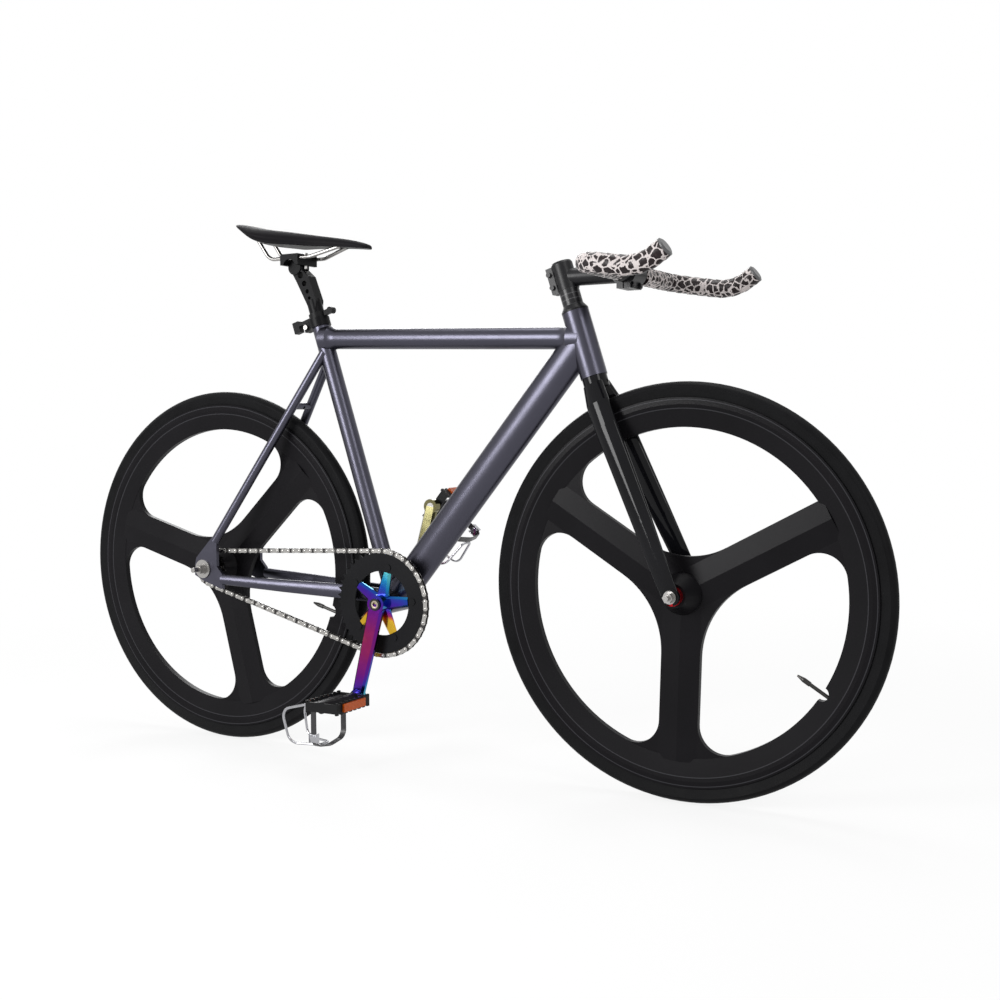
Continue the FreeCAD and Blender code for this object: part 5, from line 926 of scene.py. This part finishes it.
class BICYCLE_OT_straps(bpy.types.Operator):
    """Toe straps that hang in a loop below each pedal, with their clamps"""

    bl_idname = "bicycle.straps"
    bl_label = "Toe straps"
    bl_options = {"REGISTER", "UNDO"}

    eyes = ((-115.926, 0.0, 125.53), (-42.336, 0.0, 457.47))
    left_tilt = math.radians(-50.0)
    strap_edge, clamp_edge = math.radians(40), math.radians(30)
    cheek, skin, round_edge = 1.4 * MM, 1.5 * MM, 0.4 * MM
    back_share, cam_share, cam_drop_share = 0.86, 0.72, 0.1
    cam_inset, roller_inset = 2.4, 2.2
    cam_lean = 0.12
    roller_radius, roller_in, roller_under = 1.9 * MM, 2.2 * MM, 2.6 * MM
    roller_steps = 18
    loop_bends = (4.0 * MM, 16.0 * MM, 50.0 * MM, 16.0 * MM, 4.0 * MM)
    loop_step = 2.5 * MM
    shoulder, sag = 6.0 * MM, 1.0 * MM
    section = ((-1.0, -0.6), (-0.94, -1.0), (0.94, -1.0), (1.0, -0.6), (1.0, 0.6), (0.94, 1.0),
               (-0.94, 1.0), (-1.0, 0.6))
    grain_scale = 1500.0
    grain_depth = 0.08 * MM
    hide_factor = 1.3
    roughness = (0.30, 0.42)

    def execute(self, context):
        hide = self.hide()
        bright = plated("buckle_plate", colours().chrome, rough=0.16)
        for side in ("right", "left"):
            body = side + "_pedal"
            points, faces = self.loop(*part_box("right_toe_strap"))
            strap = piece_of(side + "_strap_loop", self.placed(points, side), faces, hide, body,
                             side + "_toe_strap")
            strap.data.set_sharp_from_angle(angle=self.strap_edge)
            points, faces = self.buckle(*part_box("right_strap_buckle"))
            clamp = piece_of(side + "_strap_clamp", self.placed(points, side), faces, bright, body,
                             side + "_strap_buckle")
            clamp.data.set_sharp_from_angle(angle=self.clamp_edge)
        return {"FINISHED"}

    def placed(self, points, side):
        """Right side's points as they are, or carried over to the left pedal and turned with it."""
        if side == "right":
            return points
        right_eye, left_eye = (Vector(eye) * MM for eye in self.eyes)
        turn = Matrix.Rotation(self.left_tilt, 3, "Y")
        return [left_eye + turn @ Vector((x - right_eye.x, -y, z - right_eye.z)) for x, y, z in points]

    def buckle(self, low, high):
        """Sprung clamp: two cheeks, a back plate, a cam plate and its roller, as points and faces."""
        wide, deep, tall = high - low
        middle = (low + high) / 2
        cheek, skin = self.cheek, self.skin
        cam = (wide - self.cam_inset * cheek, skin, tall * self.cam_share)
        blocks = (
            ((cheek, deep, tall), (low.x + cheek / 2, middle.y, middle.z), 0.0),
            ((cheek, deep, tall), (high.x - cheek / 2, middle.y, middle.z), 0.0),
            ((wide - cheek, skin, tall * self.back_share), (middle.x, high.y - skin, middle.z), 0.0),
            (cam, (middle.x, low.y + skin, middle.z - tall * self.cam_drop_share), self.cam_lean),
        )
        form = bmesh.new()
        for size, centre, lean in blocks:
            block = bmesh.new()
            bmesh.ops.create_cube(block, size=1.0)
            bmesh.ops.scale(block, vec=size, verts=block.verts)
            bmesh.ops.bevel(block, geom=block.edges[:], offset=self.round_edge, segments=2,
                            affect="EDGES", profile=0.5)
            self.join(form, block, Matrix.Translation(centre) @ Matrix.Rotation(lean, 4, "X"))
        roller = bmesh.new()
        bmesh.ops.create_cone(roller, cap_ends=True, segments=self.roller_steps, radius1=self.roller_radius,
                              radius2=self.roller_radius, depth=wide - self.roller_inset * cheek)
        place = Vector((middle.x, low.y + self.roller_in, high.z - self.roller_under))
        self.join(form, roller, Matrix.Translation(place) @ Matrix.Rotation(math.pi / 2, 4, "Y"))
        form.verts.index_update()
        points = [vert.co.copy() for vert in form.verts]
        faces = [tuple(vert.index for vert in face.verts) for face in form.faces]
        form.free()
        return points, faces

    def join(self, form, piece, place):
        """Add a placed piece to a form."""
        bmesh.ops.transform(piece, matrix=place, verts=piece.verts)
        mesh = bpy.data.meshes.new("joined")
        piece.to_mesh(mesh)
        piece.free()
        form.from_mesh(mesh)
        bpy.data.meshes.remove(mesh)

    def loop(self, low, high):
        """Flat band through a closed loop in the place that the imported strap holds."""
        thick = sizes().strap_thickness
        centre = (low.x + high.x) / 2
        half_wide = (high.x - low.x) / 2
        inset = thick / 2
        near, far, foot, top = low.y + inset, high.y - inset, low.z + inset, high.z - inset
        middle = (near + far) / 2
        corners = [Vector((centre, y, z)) for y, z in (
            (middle, top), (far, top), (far, foot + self.shoulder), (middle, foot - self.sag),
            (near, foot + self.shoulder), (near, top), (middle, top))]
        route = rounded_route(corners, self.loop_bends, self.loop_step)[:-1]
        points = []
        for index, point in enumerate(route):
            way = (route[(index + 1) % len(route)] - route[index - 1]).normalized()
            out = ACROSS.cross(way)
            for across, lift in self.section:
                points.append(point + ACROSS * (across * half_wide) + out * (lift * thick / 2))
        return points, bands(len(route), len(self.section), closed=True)

    def hide(self):
        """Black strap leather with a fine grain."""
        finish = Finish("strap_hide")
        grain = finish.cells(self.grain_scale)
        clouds = finish.noise(60.0, 4.0)
        base = finish.tinted(clouds, shade(colours().leather, self.hide_factor), 0.8, 1.7, end=0.75)
        finish.surface(Base_Color=base, Roughness=finish.drift(clouds, *self.roughness))
        return finish.relief(grain, self.grain_depth).material


class BICYCLE_OT_stage(bpy.types.Operator):
    """Pale floor, soft lamps and the camera"""

    bl_idname = "bicycle.stage"
    bl_label = "Stage"
    bl_options = {"REGISTER", "UNDO"}

    lamps = (("key_softbox", (-1.25, -2.75, 1.35), 1.3, 1.5, 92.0),
             ("fill_softbox", (2.9, -1.6, 1.9), 1.0, 1.4, 26.0),
             ("top_softbox", (0.1, 0.3, 3.2), 2.6, 1.0, 46.0),
             ("rim_softbox", (-1.8, 2.6, 2.0), 1.8, 1.2, 40.0))
    aim = (0.0, 0.0, 0.45)
    picture_width = 36.0
    far_limit = 60.0
    floor_reach = 14.0
    floor_roughness = 0.9
    # Painted shade: the floor's glow share rises from near_glow near the bicycle to full between these
    # distances.
    fade_start, fade_end = 0.6, 2.4
    near_glow = 0.82

    def execute(self, context):
        scene = bpy.context.scene
        stage = scene.bicycle_stage
        scene.view_settings.view_transform = "Standard"
        self.camera(stage, scene)
        for name, place, wide, high, power in self.lamps:
            lamp = bpy.data.lights.new(name, "AREA")
            lamp.shape, lamp.size, lamp.size_y, lamp.energy = "RECTANGLE", wide, high, power
            thing = bpy.data.objects.new(name, lamp)
            thing.location = place
            thing.rotation_euler = (Vector(self.aim) - Vector(place)).to_track_quat("-Z", "Y").to_euler()
            scene.collection.objects.link(thing)
        self.world(stage, scene)
        self.floor(stage, scene)
        return {"FINISHED"}

    def camera(self, stage, scene):
        """Camera at the place and angle of the photograph."""
        level = math.cos(stage.pitch)
        sight = Vector((-math.sin(stage.yaw) * level, math.cos(stage.yaw) * level, -math.sin(stage.pitch)))
        right = Vector((math.cos(stage.yaw), math.sin(stage.yaw), 0.0))
        up = right.cross(sight)
        across = right * math.cos(stage.roll) + up * math.sin(stage.roll)
        above = up * math.cos(stage.roll) - right * math.sin(stage.roll)
        data = bpy.data.cameras.new("photo_camera")
        data.sensor_width, data.lens, data.clip_end = self.picture_width, stage.lens, self.far_limit
        thing = bpy.data.objects.new("photo_camera", data)
        scene.collection.objects.link(thing)
        turn = Matrix((across, above, -sight)).transposed().to_4x4()
        thing.matrix_world = Matrix.Translation(stage.eye) @ turn
        scene.camera = thing

    def world(self, stage, scene):
        """Even white surroundings."""
        world = bpy.data.worlds.new("white_studio")
        world.use_nodes = True
        scene.world = world
        graph = Graph(world.node_tree)
        back = graph.nodes["Background"]
        graph.put(back.inputs["Color"], (1.0, 1.0, 1.0, 1.0))
        graph.put(back.inputs["Strength"], graph.span(graph.seen(), 0.0, 1.0, stage.daylight, 1.0))

    def floor(self, stage, scene):
        """Wide pale floor that keeps a soft shadow, with painted shade: its glow is weaker near the bicycle,
        greying the floor round it.
        """
        finish = Finish("pale_floor")
        grey = stage.floor_shade
        finish.surface(Base_Color=(grey, grey, grey, 1.0), Roughness=self.floor_roughness)
        far = finish.distance(finish.place)
        # Painted shade: less glow near the bicycle greys the floor in a soft pool round it.
        fade = finish.span(far, self.fade_start, self.fade_end, self.near_glow, 1.0, True)
        glow = finish.add("ShaderNodeEmission")
        both = finish.add("ShaderNodeMixShader")
        finish.put(both.inputs[0], finish.reckon("MULTIPLY", finish.seen(), fade))
        finish.put(both.inputs[1], finish.shader.outputs[0])
        finish.put(both.inputs[2], glow.outputs[0])
        finish.put(finish.nodes["Material Output"].inputs["Surface"], both.outputs[0])
        mesh = bpy.data.meshes.new("pale_floor")
        reach = self.floor_reach
        corners = [(-reach, -reach, 0), (reach, -reach, 0), (reach, reach, 0), (-reach, reach, 0)]
        mesh.from_pydata(corners, [], [(0, 1, 2, 3)])
        mesh.materials.append(finish.material)
        thing = bpy.data.objects.new("pale_floor", mesh)
        scene.collection.objects.link(thing)


STEPS = (BICYCLE_OT_frame, BICYCLE_OT_fork, BICYCLE_OT_wheels, BICYCLE_OT_tyres, BICYCLE_OT_metal,
         BICYCLE_OT_chain, BICYCLE_OT_cranks, BICYCLE_OT_fittings, BICYCLE_OT_tape, BICYCLE_OT_saddle,
         BICYCLE_OT_straps, BICYCLE_OT_stage)


class BICYCLE_PT_steps(bpy.types.Panel):
    """Steps, colours and sizes of the bicycle"""

    bl_idname = "BICYCLE_PT_steps"
    bl_label = "Fixed gear bicycle"
    bl_space_type = "VIEW_3D"
    bl_region_type = "UI"
    bl_category = "Bicycle"

    def draw(self, context):
        """List every step, then the values that a user may change."""
        for step in STEPS:
            self.layout.operator(step.bl_idname)
        scene = context.scene
        for group in (scene.bicycle_colours, scene.bicycle_sizes, scene.bicycle_stage):
            for key in group.__annotations__:
                self.layout.prop(group, key)


CLASSES = (BicycleColours, BicycleSizes, BicycleStage) + STEPS + (BICYCLE_PT_steps,)


def register():
    """Register the classes and hang the property groups on the scene."""
    for kind in CLASSES:
        bpy.utils.register_class(kind)
    bpy.types.Scene.bicycle_colours = PointerProperty(type=BicycleColours)
    bpy.types.Scene.bicycle_sizes = PointerProperty(type=BicycleSizes)
    bpy.types.Scene.bicycle_stage = PointerProperty(type=BicycleStage)


def unregister():
    """Take everything away again."""
    for key in ("bicycle_colours", "bicycle_sizes", "bicycle_stage"):
        delattr(bpy.types.Scene, key)
    for kind in reversed(CLASSES):
        bpy.utils.unregister_class(kind)


def main():
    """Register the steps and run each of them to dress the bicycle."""
    register()
    for step in STEPS:
        group, name = step.bl_idname.split(".")
        getattr(getattr(bpy.ops, group), name)()


if __name__ == "__main__":
    main()
